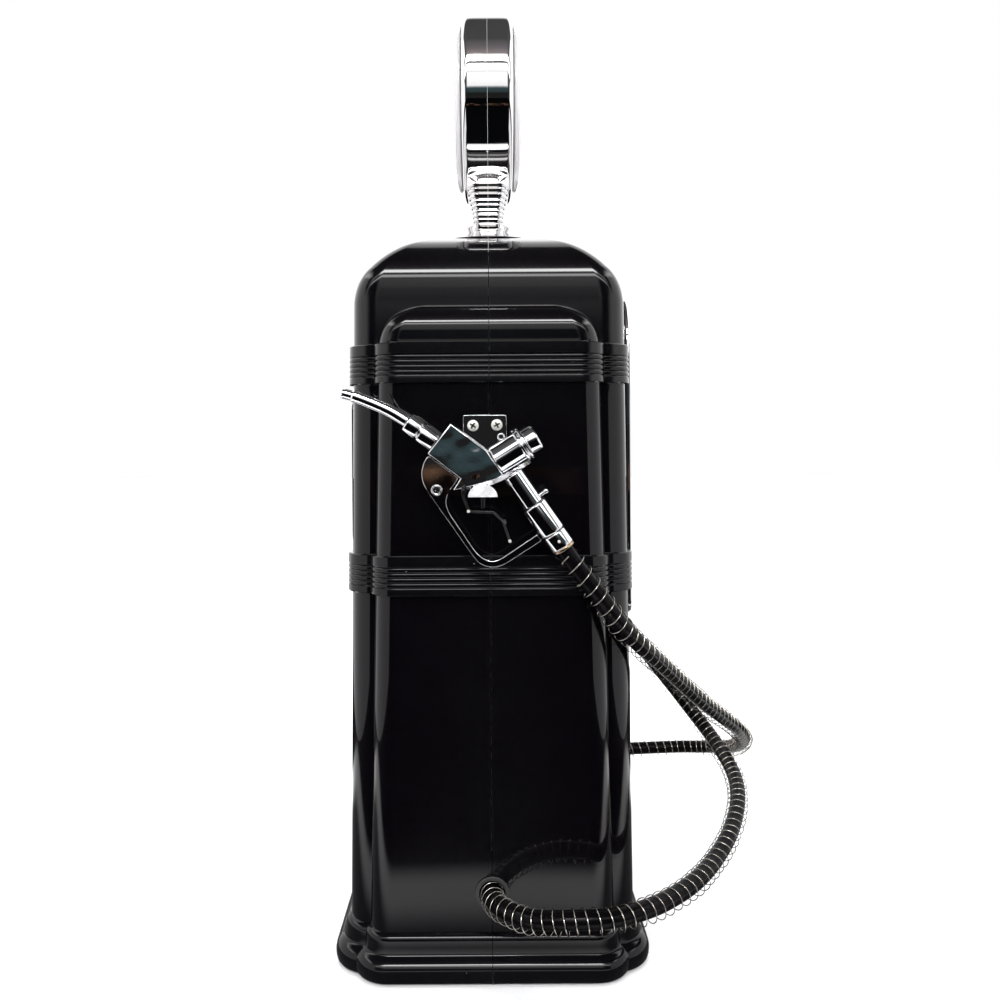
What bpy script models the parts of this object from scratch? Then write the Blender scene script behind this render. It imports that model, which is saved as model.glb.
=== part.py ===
"""Tabletop dispenser in the shape of an old fuel pump: two hoses, two nozzles and a lift-off globe.

Frame: metres, +Z up, the front faces -Y, the origin is the middle of the base.
The dimensions below are in millimetres; MM turns them into metres.
"""
import math

import bmesh
import bpy
from mathutils import Matrix, Vector

MM = 0.001

# ---- overall body
BODY_HALF_WIDTH = 76.0        # main body, X
BODY_HALF_DEPTH = 69.3        # main body, Y, at the shoulder
BODY_TOP = 376.5              # height the crown would reach without its seat
BODY_CORNER = 14.0
PANEL_HALF_WIDTH = 87.5       # side panels, X
PANEL_HALF_DEPTH = 55.5       # side panels, Y, at the upper band
PANEL_TOP = 331.0
PANEL_CORNER = 12.0
DRAFT_BODY = 2.3 / 280.0      # the body widens towards its base
DRAFT_PANEL = 5.4 / 280.0
WALL = 2.6
SEAM = 0.15                   # half of the gap at the seam
SHELL_FOOT = 1.0              # the shells end this far above the table
CORNER_STEPS = 4

# ---- crown: a flat arc then a tighter shoulder, seen from the front (X) and from the side (Y)
CROWN_X = 168.0
CROWN_X_ANGLE = math.radians(20.0)
SHOULDER_X = 28.0
CROWN_Y = 86.0
CROWN_Y_ANGLE = math.radians(45.6)
SHOULDER_Y = 27.0
PANEL_ARCH = 22.0
PANEL_EDGE = 14.0

# ---- bands and plinth
BAND_PROUD = 2.0
BANDS = ((187.0, 206.5), (291.0, 311.0))
PLINTH = ((1.0, 5.6), (4.0, 7.3), (7.5, 7.5), (10.5, 6.5), (12.5, 4.3), (14.0, 3.0), (21.0, 2.3), (23.0, 0.0))

# ---- top seat, fill holes and tanks
SEAT_Z = 371.0
SEAT_RADIUS = 37.2
INNER_TOP = 367.0
FILL_X = 17.0
FILL_RADIUS = 9.0
TANK_Z = (60.0, 338.0)
TANK_X = (8.0, 68.0)
TANK_HALF_DEPTH = 44.0
TANK_WALL = 2.0

# ---- globe
GLOBE_Z = 454.0
GLOBE_RADIUS = 53.5
GLOBE_HALF = 14.0
LENS_RADIUS = 46.5
LENS_DOME = 7.0
COLLAR_RADIUS = 36.5

# ---- hoses
OUTLET_Z = 42.0
HOSE_RADIUS = 4.3
HOSE_STEP = 10.5
SPRING_OUTER = 5.9
SPRING_INNER = 5.05
SPRING_SIDES = 8
SPRING_LEAD = 3.0
GROMMET_BORE = 6.4
GROMMET_OUTER = 8.4

# ---- nozzles, drawn in a plane: u towards the front, z up
NOZZLE_X = 101.0
HANDLE_START = (10.1, 248.0)
HANDLE_DIR = (0.561, -0.828)
SPOUT_START = (-38.9, 271.9)
SPOUT_DIR = (0.7925, -0.6099)
BONNET_START = (2.7, 252.3)
BONNET_DIR = (0.856, 0.517)
TRIGGER_PIVOT = (-12.2, 241.5)
STEM_U = -3.3
PEG_U = -5.0
PEG_Z = 256.0
GAP = 0.3


def material(name, colour, metallic, roughness):
    found = bpy.data.materials.get(name)
    if found:
        return found
    made = bpy.data.materials.new(name)
    made.use_nodes = True
    shader = made.node_tree.nodes["Principled BSDF"]
    shader.inputs["Base Color"].default_value = (*colour, 1.0)
    shader.inputs["Metallic"].default_value = metallic
    shader.inputs["Roughness"].default_value = roughness
    return made


BLACK = (0.012, 0.012, 0.014)
CHROME = (0.78, 0.78, 0.80)
PAINT = {
    "black_gloss": (BLACK, 0.0, 0.12),
    "black_matte": ((0.02, 0.02, 0.02), 0.0, 0.55),
    "rubber": ((0.015, 0.015, 0.015), 0.0, 0.75),
    "chrome": (CHROME, 1.0, 0.06),
    "steel": ((0.55, 0.54, 0.52), 1.0, 0.3),
    "dark_steel": ((0.12, 0.12, 0.13), 1.0, 0.35),
    "hose": ((0.01, 0.01, 0.012), 0.0, 0.2),
    "tank": ((0.86, 0.88, 0.88), 0.0, 0.35),
    "dial": ((0.90, 0.87, 0.78), 0.0, 0.5),
    "lens": ((0.93, 0.95, 0.95), 0.0, 0.05),
}


def v(x, y, z):
    return Vector((x, y, z)) * MM


def finish_mesh(name, bm, paint, smooth=True, origin=None, cutter=False):
    """Turn a bmesh into an object in the right collection, with its origin where it turns or slides."""
    bmesh.ops.remove_doubles(bm, verts=bm.verts, dist=1e-7)
    bmesh.ops.recalc_face_normals(bm, faces=bm.faces)
    if origin is not None:
        bmesh.ops.translate(bm, verts=bm.verts, vec=-origin)
    mesh = bpy.data.meshes.new(name)
    bm.to_mesh(mesh)
    bm.free()
    for face in mesh.polygons:
        face.use_smooth = smooth
    made = bpy.data.objects.new(name, mesh)
    if origin is not None:
        made.location = origin
    if cutter:
        CUTTERS.objects.link(made)
        made.hide_render = True
        made.display_type = "WIRE"
    else:
        PARTS.objects.link(made)
        made.data.materials.append(material(paint, *PAINT[paint]))
    return made


def boolean(target, kind, tool):
    mod = target.modifiers.new(kind.lower() + "_" + tool.name, "BOOLEAN")
    mod.operation = kind
    mod.solver = "EXACT"
    mod.object = tool


def bridge(bm, low, high):
    count = len(low)
    for i in range(count):
        j = (i + 1) % count
        bm.faces.new((low[i], low[j], high[j], high[i]))


def loft(rings, closed=False):
    """Skin a stack of rings with the same number of points; closed joins the last to the first."""
    bm = bmesh.new()
    made = [[bm.verts.new(p) for p in ring] for ring in rings]
    for low, high in zip(made, made[1:]):
        bridge(bm, low, high)
    if closed:
        bridge(bm, made[-1], made[0])
    else:
        bm.faces.new(made[0])
        bm.faces.new(made[-1])
    return bm


def rounded_rectangle(half_x, half_y, radius, z, steps=CORNER_STEPS):
    radius = min(radius, 0.45 * half_x, 0.45 * half_y)
    ring = []
    for quarter in range(4):
        sx = 1 if quarter in (0, 3) else -1
        sy = 1 if quarter in (0, 1) else -1
        for k in range(steps + 1):
            a = math.radians(90.0) * (quarter + k / steps)
            ring.append(v(sx * (half_x - radius) + radius * math.cos(a),
                          sy * (half_y - radius) + radius * math.sin(a), z))
    return ring


def prism(outline, low, high, place, chamfer=0.0):
    """Extrude a closed outline of (u, z) points from low to high; place turns (x, u, z) into space."""
    levels = [(low, 0.0), (high, 0.0)]
    if chamfer:
        levels = [(low, chamfer), (low + chamfer, 0.0), (high - chamfer, 0.0), (high, chamfer)]
    rings = []
    for x, inset in levels:
        rings.append([place(x, u, z) for u, z in inset_outline(outline, inset)])
    return loft(rings)


def inset_outline(outline, amount):
    if not amount:
        return outline
    count = len(outline)
    area = sum(outline[i][0] * outline[(i + 1) % count][1] - outline[(i + 1) % count][0] * outline[i][1]
               for i in range(count))
    sign = 1.0 if area > 0 else -1.0
    moved = []
    for i in range(count):
        before = Vector(outline[i - 1])
        here = Vector(outline[i])
        after = Vector(outline[(i + 1) % count])
        d1 = (here - before).normalized()
        d2 = (after - here).normalized()
        n1 = Vector((-d1.y, d1.x)) * sign
        n2 = Vector((-d2.y, d2.x)) * sign
        across = (n1 + n2).normalized()
        moved.append(tuple(here + across * (amount / max(0.5, across.dot(n1)))))
    return moved


def lathe(profile, origin, axis, segments=20, closed=False):
    """Spin (radius, distance along the axis) points about an axis through origin."""
    axis = axis.normalized()
    side = axis.orthogonal().normalized()
    other = axis.cross(side)
    rings = []
    for radius, along in profile:
        ring = []
        for k in range(segments):
            a = 2 * math.pi * k / segments
            ring.append(origin + axis * along * MM
                        + (side * math.cos(a) + other * math.sin(a)) * radius * MM)
        rings.append(ring)
    return loft(rings, closed)


def smooth_path(route, step):
    """Points at an even spacing along a Catmull-Rom curve through the route, in millimetres."""
    pts = [Vector(p) for p in route]
    pts = [2 * pts[0] - pts[1]] + pts + [2 * pts[-1] - pts[-2]]
    fine = []
    for a, b, c, d in zip(pts, pts[1:], pts[2:], pts[3:]):
        for k in range(24):
            t = k / 24
            fine.append(0.5 * (2 * b + (c - a) * t + (2 * a - 5 * b + 4 * c - d) * t * t
                               + (3 * b - a - 3 * c + d) * t ** 3))
    fine.append(pts[-2])
    total = sum((b - a).length for a, b in zip(fine, fine[1:]))
    count = max(2, round(total / step))
    even = [fine[0]]
    walked = 0.0
    for a, b in zip(fine, fine[1:]):
        length = (b - a).length
        while len(even) < count and walked + length >= total * len(even) / count:
            even.append(a.lerp(b, (total * len(even) / count - walked) / length))
        walked += length
    even.append(fine[-1])
    return even


def frames(path):
    """A tangent and two cross directions at each point, turned as little as possible."""
    tangents = []
    for i in range(len(path)):
        before = path[max(0, i - 1)]
        after = path[min(len(path) - 1, i + 1)]
        tangents.append((after - before).normalized())
    side = tangents[0].orthogonal().normalized()
    made = []
    for t in tangents:
        side = (side - t * side.dot(t)).normalized()
        made.append((t, side, t.cross(side)))
    return made


def sweep_rings(path, radii, sides):
    rings = []
    for point, radius, (_, side, other) in zip(path, radii, frames(path)):
        rings.append([(point + (side * math.cos(2 * math.pi * k / sides)
                                + other * math.sin(2 * math.pi * k / sides)) * radius) * MM
                      for k in range(sides)])
    return rings


# ------------------------------------------------------------------ body shells

def crown_half(drop, crown, angle, shoulder, half):
    """Half width at a drop below the top, for an arc that turns into a tighter shoulder."""
    arc = crown * (1 - math.cos(angle))
    full = arc + shoulder * math.cos(angle)
    if drop <= arc:
        return math.sqrt(max(0.0, crown ** 2 - (crown - drop) ** 2))
    if drop < full:
        return half - shoulder + math.sqrt(shoulder ** 2 - (full - drop) ** 2)
    return half


def body_size(z, top=BODY_TOP):
    drop = max(0.0, top - z)
    draft = DRAFT_BODY * max(0.0, 331.8 - max(z, 24.0))
    return (crown_half(drop, CROWN_X, CROWN_X_ANGLE, SHOULDER_X, BODY_HALF_WIDTH) + draft,
            crown_half(drop, CROWN_Y, CROWN_Y_ANGLE, SHOULDER_Y, BODY_HALF_DEPTH) + draft)


def panel_size(z):
    draft = DRAFT_PANEL * max(0.0, 300.0 - max(z, 24.0))
    arch = max(0.0, z - (PANEL_TOP - PANEL_ARCH))
    edge = max(0.0, z - (PANEL_TOP - PANEL_EDGE))
    half_depth = PANEL_HALF_DEPTH - PANEL_ARCH + math.sqrt(max(0.0, PANEL_ARCH ** 2 - arch ** 2))
    half_width = PANEL_HALF_WIDTH - PANEL_EDGE + math.sqrt(max(0.0, PANEL_EDGE ** 2 - edge ** 2))
    return half_width, half_depth + draft


def shell_levels(upper):
    """Height and outward offset of every ring, with the plinth and the bands."""
    levels = list(PLINTH)
    for low, high in BANDS:
        levels += [(low, 0.0), (low + 0.4, BAND_PROUD), (high - 0.4, BAND_PROUD), (high, 0.0)]
    return levels + [(z, 0.0) for z in upper]


def outer_rings(size, corner, upper):
    rings = []
    for z, out in shell_levels(upper):
        half_x, half_y = size(z)
        rings.append(rounded_rectangle(half_x + out, half_y + out, corner + 0.6 * out, z))
    return rings


def arch_outline(half, low, high, top_radius, low_radius, steps=6):
    """A plate outline in (x, z) with rounded top and bottom corners."""
    pts = []
    for cx, cz, radius, start in ((half - top_radius, high - top_radius, top_radius, 0),
                                  (-half + top_radius, high - top_radius, top_radius, 90),
                                  (-half + low_radius, low + low_radius, low_radius, 180),
                                  (half - low_radius, low + low_radius, low_radius, 270)):
        for k in range(steps + 1):
            a = math.radians(start + 90 * k / steps)
            pts.append((cx + radius * math.cos(a), cz + radius * math.sin(a)))
    return pts


def front_place(y, x, z):
    return v(x, -y, z)


def rear_place(y, x, z):
    return v(x, y, z)


PAD_HALF = 54.0
PAD_LOW = 168.0
PAD_HIGH = 349.0
PAD_Y = 71.6


def shell_tools():
    """Everything both shells are cut and joined with."""
    panel = finish_mesh("panel_block", loft(outer_rings(
        panel_size, PANEL_CORNER, (316.0, 321.0, 325.0, 328.0, 330.0, PANEL_TOP))), None, cutter=True)
    seat = finish_mesh("seat_block", lathe([(SEAT_RADIUS + 0.6, 350.0), (SEAT_RADIUS + 0.6, SEAT_Z)],
                                           v(0, 0, 0), Vector((0, 0, 1)), 36), None, cutter=True)
    seat_cut = finish_mesh("seat_cut", lathe([(SEAT_RADIUS + 0.6, SEAT_Z), (SEAT_RADIUS + 0.6, 390.0)],
                                             v(0, 0, 0), Vector((0, 0, 1)), 36), None, cutter=True)
    body_in = []
    for z in (-5.0, 60.0, 200.0, 331.0, 340.0, 347.0, 353.0, 358.0, 362.5, INNER_TOP):
        half_x, half_y = body_size(max(z, 60.0), BODY_TOP - 2.8)
        body_in.append(rounded_rectangle(half_x - WALL, half_y - WALL, BODY_CORNER - WALL, z, 3))
    body_in = finish_mesh("body_hollow", loft(body_in), None, cutter=True)
    panel_in = []
    for z in (-5.0, 60.0, 200.0, 300.0, 311.0, 319.0, 325.0):
        half_x, half_y = panel_size(max(z, 60.0) + 2.6)
        panel_in.append(rounded_rectangle(half_x - WALL, half_y - WALL, PANEL_CORNER - WALL, z, 3))
    panel_in = finish_mesh("panel_hollow", loft(panel_in), None, cutter=True)
    holes = []
    for side in (-1, 1):
        name = "left" if side < 0 else "right"
        holes.append(finish_mesh("fill_bore_" + name, lathe(
            [(FILL_RADIUS, 360.0), (FILL_RADIUS, 380.0)], v(side * FILL_X, 0, 0),
            Vector((0, 0, 1)), 20), None, cutter=True))
        holes.append(finish_mesh("outlet_bore_" + name, lathe(
            [(GROMMET_OUTER - 1.0, 70.0), (GROMMET_OUTER - 1.0, 95.0)], v(0, 0, OUTLET_Z),
            Vector((side, 0, 0)), 20), None, cutter=True))
    return panel, seat, seat_cut, body_in, panel_in, holes


def make_shell(name, sign, tools):
    panel, seat, seat_cut, body_in, panel_in, holes = tools
    upper = (325.0, 331.8, 338.0, 343.0, 348.0, 352.5, 356.5, 360.0, 363.0, 366.4, 369.0, 371.5, 373.5)
    shell = finish_mesh(name, loft(outer_rings(body_size, BODY_CORNER, upper)), "black_gloss")
    boolean(shell, "UNION", panel)
    boolean(shell, "UNION", seat)
    if sign < 0:
        outline = arch_outline(PAD_HALF, PAD_LOW, PAD_HIGH, 40.0, 6.0, 4)
        pad = finish_mesh("front_pad", prism(outline, 50.0, PAD_Y, front_place), None, cutter=True)
        clear = finish_mesh("front_clear", prism(outline, PAD_Y, 90.0, front_place), None, cutter=True)
        boolean(shell, "UNION", pad)
        boolean(shell, "DIFFERENCE", clear)
    boolean(shell, "DIFFERENCE", seat_cut)
    boolean(shell, "DIFFERENCE", body_in)
    boolean(shell, "DIFFERENCE", panel_in)
    for hole in holes:
        boolean(shell, "DIFFERENCE", hole)
    low, high = sorted((sign * SEAM, sign * 200.0))
    half = finish_mesh(name + "_side", prism([(low, -10.0), (high, -10.0), (high, 400.0), (low, 400.0)],
                                             -200.0, 200.0, v), None, cutter=True)
    boolean(shell, "INTERSECT", half)
    return shell


def make_base_plate():
    half_x, half_y = body_size(60.0, BODY_TOP - 2.8)
    plate = finish_mesh("base_plate", loft([rounded_rectangle(
        half_x - WALL - GAP, half_y - WALL - GAP, BODY_CORNER - WALL - GAP, z, 3) for z in (3.5, 6.5)]),
        "black_matte", smooth=False)
    half_x, half_y = panel_size(62.6)
    wings = finish_mesh("base_wings", loft([rounded_rectangle(
        half_x - WALL - GAP, half_y - WALL - GAP, PANEL_CORNER - WALL - GAP, z, 3) for z in (3.5, 6.5)]),
        None, cutter=True)
    boolean(plate, "UNION", wings)


def make_feet():
    for ix, x in enumerate((-58.0, 58.0)):
        for iy, y in enumerate((-46.0, 46.0)):
            name = "foot_" + ("front", "rear")[iy] + "_" + ("left", "right")[ix]
            finish_mesh(name, lathe([(6.5, 0.0), (7.0, 0.6), (7.0, 3.2)], v(x, y, 0),
                                    Vector((0, 0, 1)), 16), "rubber")


# ------------------------------------------------------------------ inside: tanks and outlets

def make_tank(side, name):
    """A closed tank with a filling neck that meets the shell's hole and an outlet stub below."""
    middle = side * (TANK_X[0] + TANK_X[1]) / 2
    half = (TANK_X[1] - TANK_X[0]) / 2

    def block(shrink, z_low, z_high):
        rings = [rounded_rectangle(half - shrink, TANK_HALF_DEPTH - shrink, 10.0 - shrink, z, 3)
                 for z in (z_low, z_high)]
        return [[p + v(middle, 0, 0) for p in ring] for ring in rings]

    up = Vector((0, 0, 1))
    tank = finish_mesh("tank_" + name, loft(block(0.0, *TANK_Z)), "tank")
    neck = finish_mesh("tank_neck_" + name, lathe([(FILL_RADIUS + 2.0, 330.0), (FILL_RADIUS + 2.0, INNER_TOP - GAP)],
                                                  v(side * FILL_X, 0, 0), up, 20), None, cutter=True)
    stub = finish_mesh("tank_stub_" + name, lathe([(4.3, 52.3), (4.3, 65.0)],
                                                  v(side * 60.0, 0, 0), up, 14), None, cutter=True)
    inside = finish_mesh("tank_inside_" + name, loft(block(TANK_WALL, TANK_Z[0] + 2.0, TANK_Z[1] - 2.0)),
                         None, cutter=True)
    mouth = finish_mesh("tank_mouth_" + name, lathe([(FILL_RADIUS, 325.0), (FILL_RADIUS, 380.0)],
                                                    v(side * FILL_X, 0, 0), up, 20), None, cutter=True)
    drain = finish_mesh("tank_drain_" + name, lathe([(2.6, 45.0), (2.6, 70.0)],
                                                    v(side * 60.0, 0, 0), up, 14), None, cutter=True)
    boolean(tank, "UNION", neck)
    boolean(tank, "UNION", stub)
    for tool in (inside, mouth, drain):
        boolean(tank, "DIFFERENCE", tool)


def make_outlet(side, name):
    """The bent connector from the tank's stub to the hose, and the grommet it passes."""
    route = [(side * 60.0, 0, 52.0), (side * 60.0, 0, 49.0), (side * 61.5, 0, 44.8), (side * 65.5, 0, OUTLET_Z),
             (side * 72.0, 0, OUTLET_Z), (side * 79.2, 0, OUTLET_Z)]
    path = [Vector(p) for p in route]
    outer = sweep_rings(path, [4.3] * len(path), 14)
    inner = sweep_rings(path, [2.6] * len(path), 14)
    finish_mesh("outlet_elbow_" + name, loft(outer + inner[::-1], closed=True), "black_matte")
    profile = [(GROMMET_BORE, 82.0), (GROMMET_OUTER - 1.3, 82.0), (GROMMET_OUTER - 1.3, PANEL_HALF_WIDTH + 0.3),
               (GROMMET_OUTER, PANEL_HALF_WIDTH + 0.3), (GROMMET_OUTER - 0.4, PANEL_HALF_WIDTH + 1.2),
               (GROMMET_BORE, PANEL_HALF_WIDTH + 1.2)]
    finish_mesh("hose_grommet_" + name, lathe(profile, v(0, 0, OUTLET_Z), Vector((side, 0, 0)), 20, closed=True),
                "rubber")


# ------------------------------------------------------------------ hoses

def nozzle_point(start, direction, along, across=0.0):
    """A point (u, z) along a line in the nozzle's plane, moved sideways by across."""
    return (start[0] + direction[0] * along - direction[1] * across,
            start[1] + direction[1] * along + direction[0] * across)


HOSE_ALONG = 44.9
HOSE_U, HOSE_Z = nozzle_point(HANDLE_START, HANDLE_DIR, HOSE_ALONG)
HOSE_U2, HOSE_Z2 = nozzle_point(HANDLE_START, HANDLE_DIR, HOSE_ALONG + 10.0)

# From the left nozzle, across the front, to the right outlet.
ROUTE_LEFT = [(-NOZZLE_X, -HOSE_U, HOSE_Z), (-NOZZLE_X, -HOSE_U2, HOSE_Z2), (-99, -51, 189.5),
              (-92, -62.1, 174.2), (-78, -74.5, 160.5), (-56, -88.5, 146), (-30, -104, 129.5),
              (0, -124.3, 108.9), (24, -140.6, 94), (47, -155.6, 79.6), (76, -167, 64), (103, -168, 50.5),
              (122, -155, 43.8), (131, -136, 41), (132, -114, 40), (129, -88, 40), (123, -58, 40.5),
              (116, -32, 41.5), (109, -13.5, 42), (99, -3, OUTLET_Z), (88, 0, OUTLET_Z), (79.5, 0, OUTLET_Z)]
# From the right nozzle, across the front and lower, to the left outlet.
ROUTE_RIGHT = [(NOZZLE_X, -HOSE_U, HOSE_Z), (NOZZLE_X, -HOSE_U2, HOSE_Z2), (100, -50, 190),
               (97, -66, 170), (93, -84, 148), (87, -104, 120), (80, -122, 97), (70, -134, 81.5),
               (58, -140, 73.6), (40, -143.6, 67.8), (12, -144.2, 62.6), (-15, -139, 57.8),
               (-42, -128, 52.4), (-66, -114, 48.5), (-88, -98.7, 47.2), (-104, -83, 46.7),
               (-115, -68.7, 46.9), (-122, -53, 47), (-124, -34, 47.2), (-119, -18.4, 45),
               (-110, -9, 43.6), (-98, -1.8, 42.2), (-88, 0, OUTLET_Z), (-79.5, 0, OUTLET_Z)]


def make_hose(name, route):
    path = smooth_path(route, HOSE_STEP)
    curve = bpy.data.curves.new("hose_" + name, "CURVE")
    curve.dimensions = "3D"
    curve.bevel_depth = HOSE_RADIUS * MM
    curve.bevel_resolution = 2
    curve.use_fill_caps = True
    spline = curve.splines.new("POLY")
    spline.points.add(len(path) - 1)
    for point, place in zip(spline.points, path):
        point.co = (*(place * MM), 1.0)
    hose = bpy.data.objects.new("hose_" + name, curve)
    PARTS.objects.link(hose)
    curve.materials.append(material("hose", *PAINT["hose"]))


def make_spring(name, route):
    """The wire guard around a hose, as the thin sleeve its coils fill."""
    path = smooth_path(route, HOSE_STEP)
    first = path[0] + (path[1] - path[0]).normalized() * SPRING_LEAD
    last = path[-1] + (path[-2] - path[-1]).normalized() * 1.5
    path = [first] + path[1:-1] + [last]
    outer = sweep_rings(path, [SPRING_OUTER] * len(path), SPRING_SIDES)
    inner = sweep_rings(path, [SPRING_INNER] * len(path), SPRING_SIDES)
    finish_mesh("hose_spring_" + name, loft(outer + inner[::-1], closed=True), "steel")


# ------------------------------------------------------------------ front and rear trim

def make_trim():
    outer = arch_outline(52.0, 171.0, 346.0, 38.0, 8.0, 5)
    inner = arch_outline(43.0, 180.0, 337.0, 29.0, 4.0, 5)
    frame = finish_mesh("front_frame", prism(outer, PAD_Y + GAP, PAD_Y + 3.0, front_place, 0.8), "chrome")
    window = finish_mesh("frame_window", prism(inner, PAD_Y - 5, PAD_Y + 9, front_place), None, cutter=True)
    boolean(frame, "DIFFERENCE", window)
    face = arch_outline(42.7, 180.3, 336.7, 28.7, 3.7, 5)
    finish_mesh("dial_face", prism(face, PAD_Y + GAP, PAD_Y + 1.1, front_place), "dial", smooth=False)
    finish_mesh("dial_window", prism(face, PAD_Y + 1.4, PAD_Y + 2.4, front_place), "lens", smooth=False)
    front_y = body_size(80.0)[1] + GAP
    finish_mesh("lower_plate", prism(arch_outline(45.0, 80.0, 143.0, 5.0, 5.0, 3), front_y, front_y + 2.6,
                                     front_place, 0.5), "black_gloss", smooth=False)
    rear_y = body_size(208.0)[1] + GAP
    finish_mesh("rear_plate", prism(arch_outline(40.0, 208.0, 284.0, 5.0, 5.0, 3), rear_y, rear_y + 3.6,
                                    rear_place, 0.5), "black_gloss", smooth=False)
    head = [(4.2, body_size(317.0)[1] + GAP), (4.2, body_size(317.0)[1] + 2.2), (2.6, body_size(317.0)[1] + 3.4)]
    finish_mesh("rear_screw", lathe(head, v(0, 0, 317.0), Vector((0, 1, 0)), 16), "chrome")


# ------------------------------------------------------------------ globe

def make_globe_half(name, sign):
    """Half of the plated globe with its neck and collar, split on the seam."""
    axis = Vector((0, sign, 0))
    rim = [(LENS_RADIUS - 2.5, SEAM), (GLOBE_RADIUS, SEAM), (GLOBE_RADIUS, 9.0), (GLOBE_RADIUS - 0.9, 11.8),
           (GLOBE_RADIUS - 3.0, 13.5), (GLOBE_RADIUS - 6.0, GLOBE_HALF), (LENS_RADIUS - 2.5, GLOBE_HALF)]
    half = finish_mesh(name, lathe(rim, v(0, 0, GLOBE_Z), axis, 40, closed=True), "chrome")
    levels = [(SEAT_Z + GAP, 36.3, 36.3), (SEAT_Z + 2.0, COLLAR_RADIUS, COLLAR_RADIUS), (375.5, 33.0, 32.0),
              (379.0, 27.0, 24.0), (382.5, 21.0, 15.0), (385.0, 17.6, 9.6), (387.0, 16.4, 8.4),
              (393.0, 16.8, 9.4), (400.0, 19.5, 11.2), (406.0, 24.0, 12.6), (411.0, 28.5, 13.2)]
    rings = []
    for z, rx, ry in levels:
        rings.append([v(rx * math.cos(2 * math.pi * k / 28), ry * math.sin(2 * math.pi * k / 28), z)
                      for k in range(28)])
    neck = finish_mesh(name + "_neck", loft(rings), None, cutter=True)
    boolean(half, "UNION", neck)
    low, high = sorted((sign * SEAM, sign * 200.0))
    keep = finish_mesh(name + "_side", prism([(low, 300.0), (high, 300.0), (high, 560.0), (low, 560.0)],
                                             -200.0, 200.0, v), None, cutter=True)
    boolean(half, "INTERSECT", keep)


def make_lens(name, sign):
    radius = LENS_RADIUS
    profile = [(0.01, GLOBE_HALF + GAP), (radius, GLOBE_HALF + GAP), (radius, GLOBE_HALF + 1.2),
               (radius * 0.93, GLOBE_HALF + 2.6), (radius * 0.75, GLOBE_HALF + 4.6),
               (radius * 0.45, GLOBE_HALF + 6.3), (0.01, GLOBE_HALF + LENS_DOME)]
    finish_mesh(name, lathe(profile, v(0, 0, GLOBE_Z), Vector((0, sign, 0)), 24), "lens")


# ------------------------------------------------------------------ brackets and nozzles

def cross_outline(reach, half):
    return [(reach, -half), (reach, half), (half, half), (half, reach), (-half, reach), (-half, half),
            (-reach, half), (-reach, -half), (-half, -half), (-half, -reach), (half, -reach), (half, -half)]


def make_screw(name, side, centre, base, radius, height, shank, origin=None):
    """A domed screw along X with a cross recess; base is the X its head sits on."""
    profile = [(radius, base), (radius, base + 0.45 * height), (radius * 0.72, base + 0.9 * height),
               (radius * 0.3, base + height)]
    if shank:
        profile = [(0.5 * radius, base - shank), (0.5 * radius, base)] + profile
    u, z = centre
    screw = finish_mesh(name, lathe(profile, v(0, -u, z), Vector((side, 0, 0)), 14), "chrome")

    def place(x, across, up):
        return v(side * x, -u + across, z + up)

    recess = finish_mesh(name + "_recess", prism(cross_outline(0.55 * radius, 0.15 * radius),
                                                 base + 0.45 * height, base + height + 1.0, place),
                         None, cutter=True)
    boolean(screw, "DIFFERENCE", recess)


def make_bracket(side, name):
    """A small plate on the panel with a round peg that the nozzle hangs on."""
    base = PANEL_HALF_WIDTH + GAP

    def place(x, u, z):
        return v(side * x, -u, z)

    plate = finish_mesh("bracket_" + name, prism(
        [(-11.8, 248.0), (7.4, 248.0), (8.4, 249.0), (8.4, 274.2), (7.4, 275.2), (-11.8, 275.2), (-12.8, 274.2),
         (-12.8, 249.0)], base, base + 1.5, place, 0.25), "chrome", smooth=False)
    peg = finish_mesh("bracket_peg_" + name, lathe([(2.5, base + 0.7), (2.5, 99.4), (2.1, 99.8)],
                                                   v(0, -PEG_U, PEG_Z), Vector((side, 0, 0)), 16), None, cutter=True)
    boolean(plate, "UNION", peg)
    pip = finish_mesh("bracket_pip_" + name, lathe([(2.4, base + 0.7), (2.4, base + 2.4), (1.8, base + 3.0)],
                                                   v(0, -5.6, 264.6), Vector((side, 0, 0)), 14), None, cutter=True)
    boolean(plate, "UNION", pip)
    for word, u, z in (("rear", -8.0, 270.0), ("front", 3.6, 270.3)):
        bore = finish_mesh("bracket_bore_" + word + "_" + name,
                           lathe([(1.65, base - 1.0), (1.65, base + 3.0)], v(0, -u, z), Vector((side, 0, 0)), 14),
                           None, cutter=True)
        boolean(plate, "DIFFERENCE", bore)
        make_screw("bracket_screw_" + word + "_" + name, side, (u, z), base + 1.8, 2.75, 1.6, 1.6)


def nozzle_place(side):
    """Turn (x outwards from the nozzle's middle, u, z) into space."""
    def place(x, u, z):
        return v(side * (NOZZLE_X + x), -u, z)
    return place


def along_axis(side, start, direction):
    return v(side * NOZZLE_X, -start[0], start[1]), Vector((0, -direction[0], direction[1]))


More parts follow.
